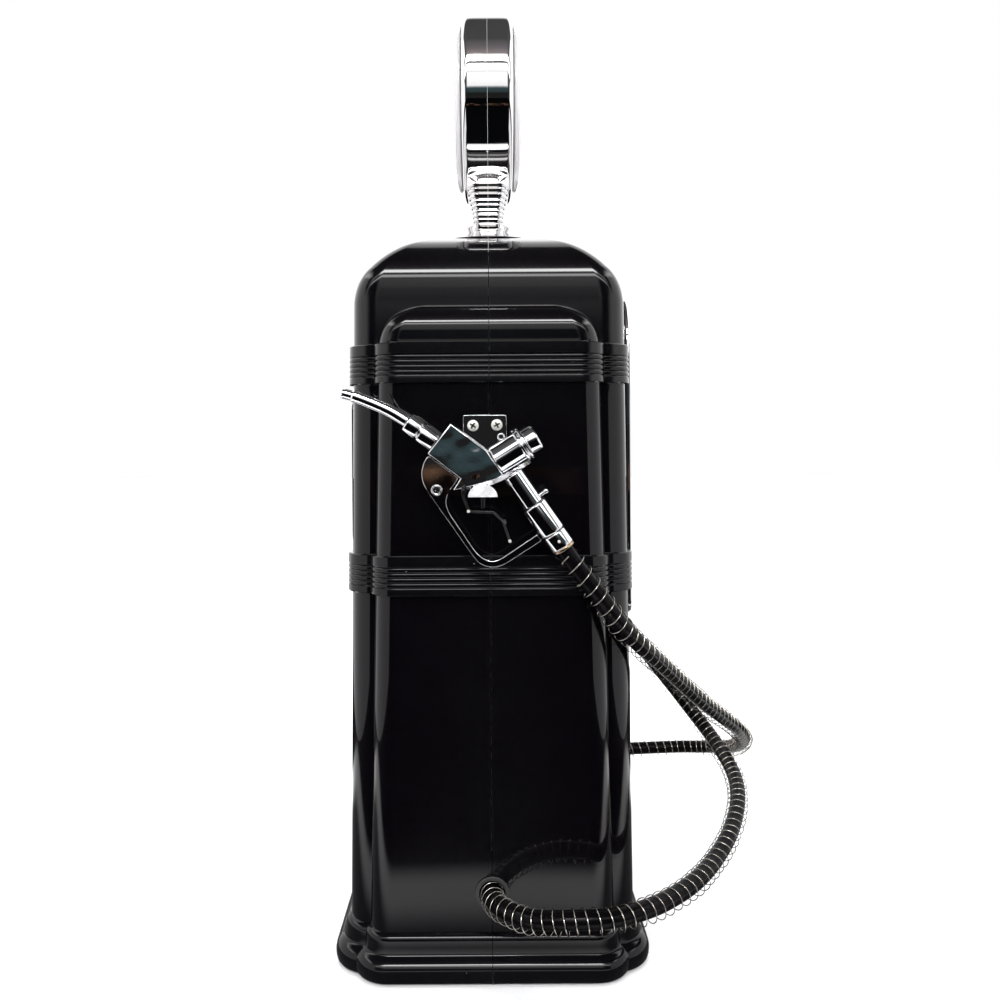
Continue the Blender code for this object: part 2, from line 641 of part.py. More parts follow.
def make_nozzle_body(side, name):
    """The valve body: a block on the spout's line, a keel below it and a half-round stem boss."""
    place = nozzle_place(side)
    outline = [(-18.2, 271.0), (-29.2, 256.8), (-13.9, 245.0), (-14.9, 242.9), (-17.3, 239.9), (-17.9, 238.6),
               (-8.2, 240.3), (1.5, 242.8), (4.6, 243.9), (6.4, 245.6), (-1.5, 258.6)]
    body = finish_mesh("nozzle_body_" + name, prism(outline, -5.8, 5.8, place, 0.7), "chrome", smooth=False)
    boss = [(STEM_U + 6.9 * math.cos(math.radians(a)), 236.4 + 5.8 * math.sin(math.radians(a)))
            for a in range(0, 181, 18)]
    boss = finish_mesh("stem_boss_" + name, prism(boss, -6.4, 6.4, place, 0.5), None, cutter=True)
    boolean(body, "UNION", boss)
    slot = finish_mesh("trigger_slot_" + name, prism(
        [(-15.6, 232.0), (-10.6, 232.0), (-9.2, 244.0), (-14.6, 244.0)], -2.9, 2.9, place), None, cutter=True)
    pivot = v(side * NOZZLE_X, -TRIGGER_PIVOT[0], TRIGGER_PIVOT[1])
    pin_bore = finish_mesh("pin_bore_" + name, lathe([(1.3, -8.0), (1.3, 8.0)], pivot, Vector((1, 0, 0)), 14),
                           None, cutter=True)
    socket = finish_mesh("peg_socket_" + name, lathe([(2.85, -9.0), (2.85, -0.6)],
                                                     v(side * NOZZLE_X, -PEG_U, PEG_Z),
                                                     Vector((side, 0, 0)), 16), None, cutter=True)
    stem_bore = finish_mesh("stem_bore_" + name, lathe([(1.5, 225.0), (1.5, 243.6)],
                                                       v(side * NOZZLE_X, -STEM_U, 0),
                                                       Vector((0, 0, 1)), 14), None, cutter=True)
    for tool in (slot, pin_bore, socket, stem_bore):
        boolean(body, "DIFFERENCE", tool)


def make_nozzle_spout(side, name):
    """The bent spout with its stepped tip, and the grooved collar that joins it to the body."""
    route = [(-39.0, 272.1), (-46.8, 276.8), (-55.0, 280.6), (-62.6, 283.6), (-65.6, 284.5), (-69.7, 285.6)]
    path = smooth_path([(side * NOZZLE_X, -u, z) for u, z in route], 3.4)
    count = len(path)
    radii = [2.95] * count
    radii[-2:] = [2.45, 2.15]
    path.insert(count - 2, path[-2].lerp(path[-3], 0.12))
    radii.insert(count - 2, 2.95)
    rings = sweep_rings(path, radii, 14)
    bore = sweep_rings(path[-2:], [1.5, 1.5], 14)
    finish_mesh("nozzle_spout_" + name, loft(rings + bore[::-1]), "chrome")
    origin, axis = along_axis(side, SPOUT_START, SPOUT_DIR)
    profile = [(4.5, GAP), (4.85, GAP + 0.4), (4.85, 7.0), (4.0, 7.3), (4.0, 8.2), (4.85, 8.5), (4.85, 16.6)]
    finish_mesh("nozzle_collar_" + name, lathe(profile, origin, axis, 20), "chrome")


def make_nozzle_bonnet(side, name):
    """The valve bonnet at the back of the body, and its screwed cap."""
    origin, axis = along_axis(side, BONNET_START, BONNET_DIR)
    profile = [(6.9, GAP), (7.2, GAP + 0.5), (7.2, 13.8), (8.8, 14.0), (8.8, 15.0), (7.8, 15.2), (7.8, 15.8),
               (8.8, 16.0), (8.8, 16.9)]
    finish_mesh("nozzle_bonnet_" + name, lathe(profile, origin, axis, 24), "chrome")
    cap = [(6.0, 16.9 + GAP), (6.55, 17.8), (6.55, 22.4), (6.0, 23.2)]
    finish_mesh("nozzle_cap_" + name, lathe(cap, origin, axis, 24), "chrome")


def make_nozzle_handle(side, name):
    """The handle tube with its small peg, the swivel sleeve, and the ferrule the hose ends in."""
    origin, axis = along_axis(side, HANDLE_START, HANDLE_DIR)
    handle = finish_mesh("nozzle_handle_" + name, lathe(
        [(4.6, 2.9), (5.1, 3.4), (5.1, 18.7)], origin, axis, 20), "chrome")
    peg_from = nozzle_point(HANDLE_START, HANDLE_DIR, 16.9)
    peg_dir = (-HANDLE_DIR[1], HANDLE_DIR[0])
    peg_origin, peg_axis = along_axis(side, peg_from, peg_dir)
    peg = finish_mesh("handle_peg_" + name, lathe([(1.0, 3.0), (1.0, 8.8), (0.7, 9.2)], peg_origin, peg_axis, 10),
                      None, cutter=True)
    boolean(handle, "UNION", peg)
    sleeve = [(5.7, 19.0), (6.25, 19.6), (6.25, 34.6), (5.9, 35.0)]
    finish_mesh("nozzle_swivel_" + name, lathe(sleeve, origin, axis, 24), "chrome")
    ferrule = [(5.6, 35.3), (5.95, 35.7), (5.95, 43.0), (5.4, 43.2), (5.4, 43.5), (5.6, 43.6), (5.6, 44.5)]
    finish_mesh("nozzle_ferrule_" + name, lathe(ferrule, origin, axis, 20), "chrome")


def make_nozzle_guard(side, name):
    """The hand guard: an ear under the body and a thin strip round to the swivel."""
    place = nozzle_place(side)
    foot_high = nozzle_point(HANDLE_START, HANDLE_DIR, 31.2, -6.6)
    foot_low = nozzle_point(HANDLE_START, HANDLE_DIR, 34.8, -6.6)
    outer = [(-28.9, 256.1), (-31.0, 252.5), (-32.3, 247.9), (-31.5, 242.8), (-28.9, 238.2), (-7.4, 207.4),
             (-5.0, 204.8), (-1.4, 203.2), (2.6, 203.0), (6.6, 204.2), foot_low]
    inner = [foot_high, (6.1, 207.8), (3.1, 206.2), (-0.4, 206.0), (-4.4, 208.0), (-7.2, 210.9), (-19.4, 229.1),
             (-20.7, 233.5), (-20.1, 236.9), (-18.6, 239.8), (-15.9, 243.3), (-14.7, 245.2)]
    finish_mesh("nozzle_guard_" + name, prism(outer + inner, -2.8, 2.8, place, 0.4), "chrome", smooth=False)
    make_screw("guard_screw_" + name, side, (-25.0, 239.6), NOZZLE_X + 3.1, 2.6, 1.2, 0.0)


def make_trigger(side, name):
    """The bent trigger on its cross pin, and the valve stem it pushes."""
    place = nozzle_place(side)
    pivot_u, pivot_z = TRIGGER_PIVOT
    pivot = v(side * NOZZLE_X, -pivot_u, pivot_z)
    eye = []
    for k in range(11):
        a = math.radians(-62.0 + 286.0 * k / 10)
        eye.append((pivot_u + 2.1 * math.cos(a), pivot_z + 2.1 * math.sin(a)))
    back = [(-13.2, 235.6), (-10.9, 229.6), (-9.6, 228.4), (1.2, 228.1), (5.4, 224.4), (8.9, 214.1)]
    front = [(10.5, 214.7), (6.9, 225.2), (1.9, 229.7), (-8.9, 230.0), (-11.4, 236.0)]
    trigger = finish_mesh("nozzle_trigger_" + name, prism(eye + back + front, -2.5, 2.5, place, 0.25),
                          "dark_steel", smooth=False, origin=pivot)
    bore = finish_mesh("trigger_eye_" + name, lathe([(1.06, -8.0), (1.06, 8.0)], pivot, Vector((1, 0, 0)), 14),
                       None, cutter=True)
    boolean(trigger, "DIFFERENCE", bore)
    finish_mesh("trigger_pin_" + name, lathe([(1.0, -5.4), (1.0, 5.4)], pivot, Vector((1, 0, 0)), 14),
                "dark_steel")
    top = v(side * NOZZLE_X, -STEM_U, 0)
    finish_mesh("valve_stem_" + name, lathe([(0.9, 230.3), (1.2, 230.6), (1.2, 241.0)], top, Vector((0, 0, 1)), 14),
                "dark_steel")


# ------------------------------------------------------------------ build

for old in list(bpy.data.objects):
    bpy.data.objects.remove(old, do_unlink=True)
PARTS = bpy.data.collections.new("pump_dispenser")
CUTTERS = bpy.data.collections.new("cutters")
bpy.context.scene.collection.children.link(PARTS)
bpy.context.scene.collection.children.link(CUTTERS)

SHELL_TOOLS = shell_tools()
make_shell("front_shell", -1, SHELL_TOOLS)
make_shell("rear_shell", 1, SHELL_TOOLS)
make_base_plate()
make_feet()
make_trim()
make_globe_half("globe_front", -1)
make_globe_half("globe_rear", 1)
make_lens("lens_front", -1)
make_lens("lens_rear", 1)
for SIDE, WORD in ((-1, "left"), (1, "right")):
    make_tank(SIDE, WORD)
    make_outlet(SIDE, WORD)
    make_bracket(SIDE, WORD)
    make_nozzle_body(SIDE, WORD)
    make_nozzle_spout(SIDE, WORD)
    make_nozzle_bonnet(SIDE, WORD)
    make_nozzle_handle(SIDE, WORD)
    make_nozzle_guard(SIDE, WORD)
    make_trigger(SIDE, WORD)
for WORD, ROUTE in (("left", ROUTE_LEFT), ("right", ROUTE_RIGHT)):
    make_hose(WORD, ROUTE)
    make_spring(WORD, ROUTE)
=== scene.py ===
# %% [markdown]
# This lesson builds the looks of a tabletop drink dispenser shaped like an old fuel pump.
# The solid model is loaded as a fixed frame, and every visible piece is modelled over it in metres.

import math

import bmesh
import bpy
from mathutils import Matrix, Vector


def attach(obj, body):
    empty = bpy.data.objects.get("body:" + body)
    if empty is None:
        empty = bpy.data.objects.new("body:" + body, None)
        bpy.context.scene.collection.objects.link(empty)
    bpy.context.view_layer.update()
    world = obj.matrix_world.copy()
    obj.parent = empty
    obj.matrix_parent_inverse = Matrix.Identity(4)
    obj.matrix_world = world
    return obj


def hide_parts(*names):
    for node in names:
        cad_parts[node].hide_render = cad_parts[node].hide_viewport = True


MM = 0.001
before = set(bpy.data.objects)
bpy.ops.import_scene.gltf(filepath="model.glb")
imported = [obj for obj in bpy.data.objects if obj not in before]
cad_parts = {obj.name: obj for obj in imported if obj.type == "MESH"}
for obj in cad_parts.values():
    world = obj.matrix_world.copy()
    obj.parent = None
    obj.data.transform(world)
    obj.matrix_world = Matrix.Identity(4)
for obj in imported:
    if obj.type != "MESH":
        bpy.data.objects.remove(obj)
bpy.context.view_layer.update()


def show(name, data):
    """Put a camera, a lamp or a mesh into the scene under its name."""
    made = bpy.data.objects.new(name, data)
    bpy.context.scene.collection.objects.link(made)
    return made


# %% [markdown]
# The camera comes first, because everything is judged through it. It stands level with the hanging
# nozzle, half a metre from the pump's middle, and looks straight at one side.
# A little lens shift puts the tall pump in the frame and keeps its upright lines upright.

# %% Camera
camera_data = bpy.data.cameras.new("side_camera")
camera_data.lens = 33.66
camera_data.sensor_width = 36.0
camera_data.shift_x = 0.0105
camera_data.shift_y = -0.060
camera_data.clip_start = 0.01
camera_data.clip_end = 50.0
side_camera = show("side_camera", camera_data)
side_camera.location = (-0.5435, 0.0, 0.263)
side_camera.rotation_euler = (math.radians(90.0), math.radians(0.36), math.radians(-90.0))
bpy.context.scene.camera = side_camera
print("camera", tuple(round(x, 3) for x in side_camera.location))

# %% [markdown]
# Polished black plastic and plated metal show mostly what they reflect, so the room matters more than
# any lamp. This one has a white backdrop and pale side walls, a dark side where the camera
# stands, and two long tubes of light above it. The camera itself only sees plain white.


# %% Small helpers for node trees
def node(tree, kind, **settings):
    made = tree.nodes.new(kind)
    for name, value in settings.items():
        setattr(made, name, value)
    return made


def join(tree, source, target):
    tree.links.new(source, target)


def arithmetic(tree, operation, first, second=None, third=None, clamp=False):
    made = node(tree, "ShaderNodeMath", operation=operation, use_clamp=clamp)
    for socket, value in zip(made.inputs, (first, second, third)):
        if value is None:
            continue
        if isinstance(value, (int, float)):
            socket.default_value = value
        else:
            join(tree, value, socket)
    return made.outputs[0]


def ramp(tree, factor, stops):
    made = node(tree, "ShaderNodeValToRGB")
    elements = made.color_ramp.elements
    while len(elements) < len(stops):
        elements.new(0.5)
    for element, (position, value) in zip(elements, stops):
        element.position = position
        colour = value if isinstance(value, tuple) else (value, value, value)
        element.color = (*colour, 1.0)
    join(tree, factor, made.inputs[0])
    return made.outputs[0]


def smooth_between(tree, value, low, high):
    made = node(tree, "ShaderNodeMapRange", interpolation_type="SMOOTHSTEP")
    join(tree, value, made.inputs["Value"])
    made.inputs["From Min"].default_value = low
    made.inputs["From Max"].default_value = high
    return made.outputs["Result"]


MIX_SHARE, MIX_FIRST, MIX_SECOND, MIX_RESULT = 0, 6, 7, 2


def blend(tree, share, first, second):
    """Mix two colours by a mask; each colour is a socket or a plain colour."""
    made = node(tree, "ShaderNodeMix", data_type="RGBA")
    for place, value in ((MIX_SHARE, share), (MIX_FIRST, first), (MIX_SECOND, second)):
        if isinstance(value, tuple):
            made.inputs[place].default_value = (*value, 1.0)
        else:
            join(tree, value, made.inputs[place])
    return made.outputs[MIX_RESULT]


def turn_between(tree, upward, along):
    """Ramp position of a direction, from straight down on one side over the top to straight down again."""
    angle = arithmetic(tree, "ARCTAN2", upward, along)
    return arithmetic(tree, "MULTIPLY_ADD", angle, 1.0 / (2.0 * math.pi), 0.5)


# %% The room
BRIGHTEST = 18.0


def over_the_top(degrees):
    """Ramp position of a direction that turns from the camera's side (0) over the top to the backdrop (180)."""
    return 0.5 + degrees / 360.0


world = bpy.data.worlds.new("studio_room")
bpy.context.scene.world = world
world.use_nodes = True
room = world.node_tree
room.nodes.clear()
direction = node(room, "ShaderNodeTexCoord").outputs["Generated"]
split = node(room, "ShaderNodeSeparateXYZ")
join(room, direction, split.inputs[0])
toward_camera = arithmetic(room, "MULTIPLY", split.outputs["X"], -1.0)
turn = turn_between(room, split.outputs["Z"], toward_camera)
middle = ramp(room, turn, [
    (0.0, 0.055), (over_the_top(-100), 0.055), (over_the_top(-40), 0.0010), (over_the_top(1.5), 0.0008),
    (over_the_top(3.0), (0.0017, 0.0027, 0.0029)), (over_the_top(8), (0.0024, 0.0040, 0.0046)),
    (over_the_top(10), 0.06), (over_the_top(25), 0.075), (over_the_top(27), 0.045), (over_the_top(29), 0.1),
    (over_the_top(30.5), 0.6), (over_the_top(34), 0.6), (over_the_top(35.5), 0.08), (over_the_top(37), 0.003),
    (over_the_top(39.6), 0.004), (over_the_top(40.5), 1.6), (over_the_top(45.5), 1.6), (over_the_top(47), 0.07),
    (over_the_top(49), (0.017, 0.0145, 0.0145)), (over_the_top(57), (0.0092, 0.0082, 0.0088)),
    (over_the_top(67), 0.0054), (over_the_top(70), 0.0038), (over_the_top(108), 0.0033),
    (over_the_top(114), 0.075), (1.0, 0.075)])
beside = ramp(room, turn, [
    (0.0, 0.055), (over_the_top(-100), 0.055), (over_the_top(-40), 0.0010), (over_the_top(3), 0.0010),
    (over_the_top(8), (0.0016, 0.0026, 0.0032)), (over_the_top(28), 0.004), (over_the_top(30.5), 0.4),
    (over_the_top(34), 0.3), (over_the_top(36), 0.004), (over_the_top(39.6), 0.004), (over_the_top(40.5), 0.16),
    (over_the_top(45.5), 0.16), (over_the_top(48), 0.0095), (over_the_top(67), 0.0052),
    (over_the_top(108), 0.0033), (over_the_top(114), 0.075), (1.0, 0.075)])
sideways = arithmetic(room, "ABSOLUTE", split.outputs["Y"])
climb = turn_between(room, split.outputs["Z"], sideways)
walls = ramp(room, climb, [
    (0.0, 0.05), (over_the_top(-30), 0.06), (over_the_top(0), 0.075), (over_the_top(34), 0.085),
    (over_the_top(40), 0.6), (over_the_top(52), 0.6), (over_the_top(58), 0.08), (over_the_top(80), 0.03),
    (over_the_top(90), 0.004), (1.0, 0.004)])
walls_near = ramp(room, climb, [
    (0.0, 0.05), (over_the_top(-30), 0.06), (over_the_top(0), 0.075), (over_the_top(16), 0.085),
    (over_the_top(20), 0.003), (over_the_top(39), 0.003), (over_the_top(40.5), 0.6), (over_the_top(52), 0.6),
    (over_the_top(58), 0.08), (over_the_top(80), 0.03), (over_the_top(90), 0.004), (1.0, 0.004)])
both_walls = blend(room, smooth_between(room, toward_camera, 0.20, 0.30), walls, walls_near)
off_middle = blend(room, smooth_between(room, sideways, 0.14, 0.42), middle, beside)
whole_room = blend(room, smooth_between(room, sideways, 0.64, 0.90), off_middle, both_walls)
seen_by_camera = node(room, "ShaderNodeLightPath").outputs["Is Camera Ray"]
lit_room = node(room, "ShaderNodeBackground")
lit_room.inputs["Strength"].default_value = BRIGHTEST
join(room, whole_room, lit_room.inputs["Color"])
plain_white = node(room, "ShaderNodeBackground")
plain_white.inputs["Color"].default_value = (1.0, 1.0, 1.0, 1.0)
plain_white.inputs["Strength"].default_value = 1.0
choose = node(room, "ShaderNodeMixShader")
join(room, seen_by_camera, choose.inputs[0])
join(room, lit_room.outputs[0], choose.inputs[1])
join(room, plain_white.outputs[0], choose.inputs[2])
join(room, choose.outputs[0], node(room, "ShaderNodeOutputWorld").inputs[0])
bpy.context.scene.view_settings.view_transform = "Standard"
print("room with", len(room.nodes), "nodes")

# %% [markdown]
# One large soft lamp overhead gives the floor its light and the pump a faint contact shadow.
# The floor is pale everywhere to the camera. In reflections only, its colour is painted darker: a painted shade
# with distance, as a table ends before the dark part of a room begins, and a painted shadow round the pump's foot.

# %% Lamp and floor
lamp_data = bpy.data.lights.new("overhead_softbox", "AREA")
lamp_data.shape = "RECTANGLE"
lamp_data.size = 1.6
lamp_data.size_y = 1.2
lamp_data.energy = 26.0
overhead = show("overhead_softbox", lamp_data)
overhead.location = (0.15, 0.0, 1.7)
overhead.visible_camera = False
overhead.visible_glossy = False

FLOOR_REACH = 6.0
PALE_FLOOR = (0.93, 0.93, 0.94)
# The dark floor colour below is painted shade and painted shadow, seen only in reflections.
SHADED_FLOOR_COLOUR = (0.0012, 0.0013, 0.0016)
SHORTER_SIDEWAYS = (1.0, 0.5, 1.0)
FADE_FROM, FADE_TO = 0.186, 0.218
FURTHER_WHEN_STEEP = -0.11
FOOT_SHADOW_FROM, FOOT_SHADOW_TO, FOOT_SHADOW_SHARE = 0.170, 0.125, 0.92
floor_mesh = bpy.data.meshes.new("studio_floor")
floor_mesh.from_pydata([(x * FLOOR_REACH, y * FLOOR_REACH, 0.0) for x, y in ((-1, -1), (1, -1), (1, 1), (-1, 1))],
                       [], [(0, 1, 2, 3)])
studio_floor = show("studio_floor", floor_mesh)
floor_paint = bpy.data.materials.new("pale_floor")
floor_paint.use_nodes = True
tree = floor_paint.node_tree
shader = tree.nodes["Principled BSDF"]
shader.inputs["Roughness"].default_value = 0.55
shader.inputs["IOR"].default_value = 1.0
place = node(tree, "ShaderNodeNewGeometry").outputs["Position"]
stretched = node(tree, "ShaderNodeVectorMath", operation="MULTIPLY")
stretched.inputs[1].default_value = SHORTER_SIDEWAYS
join(tree, place, stretched.inputs[0])
distance = node(tree, "ShaderNodeVectorMath", operation="LENGTH")
join(tree, stretched.outputs[0], distance.inputs[0])
upward = node(tree, "ShaderNodeSeparateXYZ")
join(tree, node(tree, "ShaderNodeNewGeometry").outputs["Incoming"], upward.inputs[0])
# From here the floor's colour is painted darker for reflected rays only: painted shade far off, reaching further
# when the floor is seen steeply.
seen_steeply = smooth_between(tree, upward.outputs["Z"], 0.72, 0.80)
reach = arithmetic(tree, "MULTIPLY_ADD", seen_steeply, FURTHER_WHEN_STEEP, distance.outputs["Value"])
far_away = smooth_between(tree, reach, FADE_FROM, FADE_TO)
# A painted shadow close round the pump's foot, also seen only in reflections.
painted_foot_shadow = smooth_between(tree, distance.outputs["Value"], FOOT_SHADOW_FROM, FOOT_SHADOW_TO)
faded = arithmetic(tree, "MAXIMUM", far_away, arithmetic(tree, "MULTIPLY", painted_foot_shadow, FOOT_SHADOW_SHARE))
painted_shade = arithmetic(tree, "MULTIPLY", faded, node(tree, "ShaderNodeLightPath").outputs["Is Glossy Ray"])
join(tree, ramp(tree, painted_shade, [(0.0, PALE_FLOOR), (1.0, SHADED_FLOOR_COLOUR)]), shader.inputs["Base Color"])
floor_mesh.materials.append(floor_paint)
print("floor", FLOOR_REACH * 2, "m wide")

# %% [markdown]
# Three glowing cards stand in the room, and only reflections see them. Two low pale walls left and
# right put the soft bright strips into the case's rounded corners. A dim wooden shelf far behind
# the camera gives the plated pieces a thin warm streak.


# %% Cards for reflections
def reflected_card(name, corners, stops, grain_scale):
    mesh = bpy.data.meshes.new(name)
    mesh.from_pydata(corners, [], [(0, 1, 2, 3)])
    card = show(name, mesh)
    for ray in ("visible_camera", "visible_diffuse", "visible_shadow", "visible_transmission"):
        setattr(card, ray, False)
    paint = bpy.data.materials.new(name + "_paint")
    paint.use_nodes = True
    tree = paint.node_tree
    tree.nodes.clear()
    grain = node(tree, "ShaderNodeTexNoise")
    grain.inputs["Scale"].default_value = grain_scale
    grain.inputs["Detail"].default_value = 5.0
    join(tree, node(tree, "ShaderNodeTexCoord").outputs["Object"], grain.inputs["Vector"])
    glow = node(tree, "ShaderNodeEmission")
    join(tree, ramp(tree, grain.outputs["Fac"], stops), glow.inputs["Color"])
    join(tree, glow.outputs[0], node(tree, "ShaderNodeOutputMaterial").inputs[0])
    mesh.materials.append(paint)


WOOD = [(0.44, (0.003, 0.002, 0.002)), (0.54, (0.15, 0.085, 0.05)), (0.60, (0.012, 0.008, 0.007))]
PALE = [(0.3, (0.95, 0.95, 0.98)), (0.7, (1.0, 1.0, 1.0))]
SHELF_X, SHELF_REACH, SHELF_LOW, SHELF_HIGH = -1.3, 0.9, 0.165, 0.215
reflected_card("far_shelf", [(SHELF_X, -SHELF_REACH, SHELF_LOW), (SHELF_X, SHELF_REACH, SHELF_LOW),
                             (SHELF_X, SHELF_REACH, SHELF_HIGH), (SHELF_X, -SHELF_REACH, SHELF_HIGH)], WOOD, 9.0)
WALL_Y, WALL_NEAR_X, WALL_FAR_X, WALL_HIGH = 0.44, -0.55, 0.6, 0.32
for side, word in ((-1, "front"), (1, "rear")):
    reflected_card("pale_wall_" + word, [(WALL_NEAR_X, side * WALL_Y, 0.0), (WALL_FAR_X, side * WALL_Y, 0.0),
                                         (WALL_FAR_X, side * WALL_Y, WALL_HIGH),
                                         (WALL_NEAR_X, side * WALL_Y, WALL_HIGH)], PALE, 2.0)
print("cards stand", WALL_Y, "m to each side and", -SHELF_X, "m behind")

# %% [markdown]
# Real surfaces are never perfectly even. Three small effects are used again and again, so each
# is a node group with named sockets: faint waves of a moulded or plated skin, fine dust
# specks, and wear that brightens or dulls the edges.


# %% Groups of nodes for repeated effects
def new_group(name, inputs, outputs):
    tree = bpy.data.node_groups.new(name, "ShaderNodeTree")
    for label, value in inputs:
        socket = tree.interface.new_socket(name=label, in_out="INPUT", socket_type="NodeSocketFloat")
        socket.default_value = value
    for label in outputs:
        tree.interface.new_socket(name=label, in_out="OUTPUT", socket_type="NodeSocketFloat")
    return tree, node(tree, "NodeGroupInput"), node(tree, "NodeGroupOutput")


def object_place(tree):
    return node(tree, "ShaderNodeTexCoord").outputs["Object"]


def noise(tree, scale, detail=2.0, roughness=0.5):
    made = node(tree, "ShaderNodeTexNoise")
    made.inputs["Detail"].default_value = detail
    made.inputs["Roughness"].default_value = roughness
    if isinstance(scale, (int, float)):
        made.inputs["Scale"].default_value = scale
    else:
        join(tree, scale, made.inputs["Scale"])
    join(tree, object_place(tree), made.inputs["Vector"])
    return made.outputs["Fac"]


# %% Waves of a moulded or plated skin
wave_tree, wave_in, wave_out = new_group(
    "skin_waves", [("Wave Scale", 60.0), ("Ripple Scale", 420.0), ("Ripple Share", 0.2)], ["Height", "Patches"])
slow = noise(wave_tree, wave_in.outputs["Wave Scale"], 1.0)
quick_ripple = noise(wave_tree, wave_in.outputs["Ripple Scale"], 3.0)
height = arithmetic(wave_tree, "MULTIPLY_ADD", quick_ripple, wave_in.outputs["Ripple Share"], slow)
join(wave_tree, height, wave_out.inputs["Height"])
join(wave_tree, smooth_between(wave_tree, noise(wave_tree, 28.0, 4.0, 0.6), 0.35, 0.7), wave_out.inputs["Patches"])

# %% Dust specks
dust_tree, dust_in, dust_out = new_group("dust_specks", [("Speck Scale", 260.0), ("Speck Size", 0.06)], ["Specks"])
cells = node(dust_tree, "ShaderNodeTexVoronoi", feature="F1")
join(dust_tree, dust_in.outputs["Speck Scale"], cells.inputs["Scale"])
join(dust_tree, object_place(dust_tree), cells.inputs["Vector"])
size_of_speck = node(dust_tree, "ShaderNodeSeparateColor")
join(dust_tree, cells.outputs["Color"], size_of_speck.inputs[0])
rare = arithmetic(dust_tree, "GREATER_THAN", size_of_speck.outputs[0], 0.93)
edge = arithmetic(dust_tree, "MULTIPLY", size_of_speck.outputs[1], dust_in.outputs["Speck Size"])
near = arithmetic(dust_tree, "LESS_THAN", cells.outputs["Distance"], edge)
join(dust_tree, arithmetic(dust_tree, "MULTIPLY", near, rare), dust_out.inputs["Specks"])

# %% Edge wear
wear_tree, wear_in, wear_out = new_group("edge_wear", [("Sharpness", 14.0), ("Breakup Scale", 240.0)], ["Wear"])
pointed = node(wear_tree, "ShaderNodeNewGeometry").outputs["Pointiness"]
raised = arithmetic(wear_tree, "SUBTRACT", pointed, 0.5)
raised = arithmetic(wear_tree, "MULTIPLY", raised, wear_in.outputs["Sharpness"], clamp=True)
broken = noise(wear_tree, wear_in.outputs["Breakup Scale"], 3.0)
join(wear_tree, arithmetic(wear_tree, "MULTIPLY", raised, broken, clamp=True), wear_out.inputs["Wear"])
print("node groups:", [g.name for g in bpy.data.node_groups])

# %% [markdown]
# Each finish is a Principled shader with its own values. The groups only feed it masks and heights,
# so a finish can be read in one look: base colour, how rough the skin is, how deep its waves
# are, how much dust lies on it and how far its edges are worn.


# %% Finishes
def placed_group(tree, group, **values):
    made = node(tree, "ShaderNodeGroup")
    made.node_tree = group
    for label, value in values.items():
        made.inputs[label.replace("_", " ")].default_value = value
    return made


WORN_ROUGHER = 0.12
DUST_ROUGHER = 0.5


def finish(name, colour, second_colour, metallic, roughness, waves, wave_depth, dust=None, wear=None,
           coat=0.0, transmission=0.0, ior=1.5, ripple=0.2, specular=0.5, coat_ior=1.5):
    """A finish: two colours mixed in patches, a roughness range, a waved skin, dust and worn edges."""
    made = bpy.data.materials.new(name)
    made.use_nodes = True
    tree = made.node_tree
    shader = tree.nodes["Principled BSDF"]
    skin = placed_group(tree, wave_tree, Wave_Scale=waves[0], Ripple_Scale=waves[1], Ripple_Share=ripple)
    base = blend(tree, skin.outputs["Patches"], colour, second_colour)
    rough = arithmetic(tree, "MULTIPLY_ADD", skin.outputs["Patches"], roughness[1] - roughness[0], roughness[0])
    if wear:
        worn = placed_group(tree, wear_tree, Sharpness=wear[0]).outputs["Wear"]
        base = blend(tree, worn, base, wear[1])
        rough = arithmetic(tree, "MULTIPLY_ADD", worn, WORN_ROUGHER, rough)
    if dust:
        specks = placed_group(tree, dust_tree, Speck_Scale=dust[0], Speck_Size=dust[1]).outputs["Specks"]
        base = blend(tree, specks, base, dust[2])
        rough = arithmetic(tree, "MULTIPLY_ADD", specks, DUST_ROUGHER, rough, clamp=True)
    join(tree, base, shader.inputs["Base Color"])
    join(tree, rough, shader.inputs["Roughness"])
    bump = node(tree, "ShaderNodeBump")
    join(tree, skin.outputs["Height"], bump.inputs["Height"])
    join(tree, bump.outputs["Normal"], shader.inputs["Normal"])
    for owner, label, value in ((bump, "Strength", 1.0), (bump, "Distance", wave_depth),
                                (shader, "Metallic", metallic), (shader, "IOR", ior),
                                (shader, "Coat Weight", coat), (shader, "Coat Roughness", 0.03),
                                (shader, "Coat IOR", coat_ior), (shader, "Specular IOR Level", specular),
                                (shader, "Transmission Weight", transmission)):
        owner.inputs[label].default_value = value
    return made


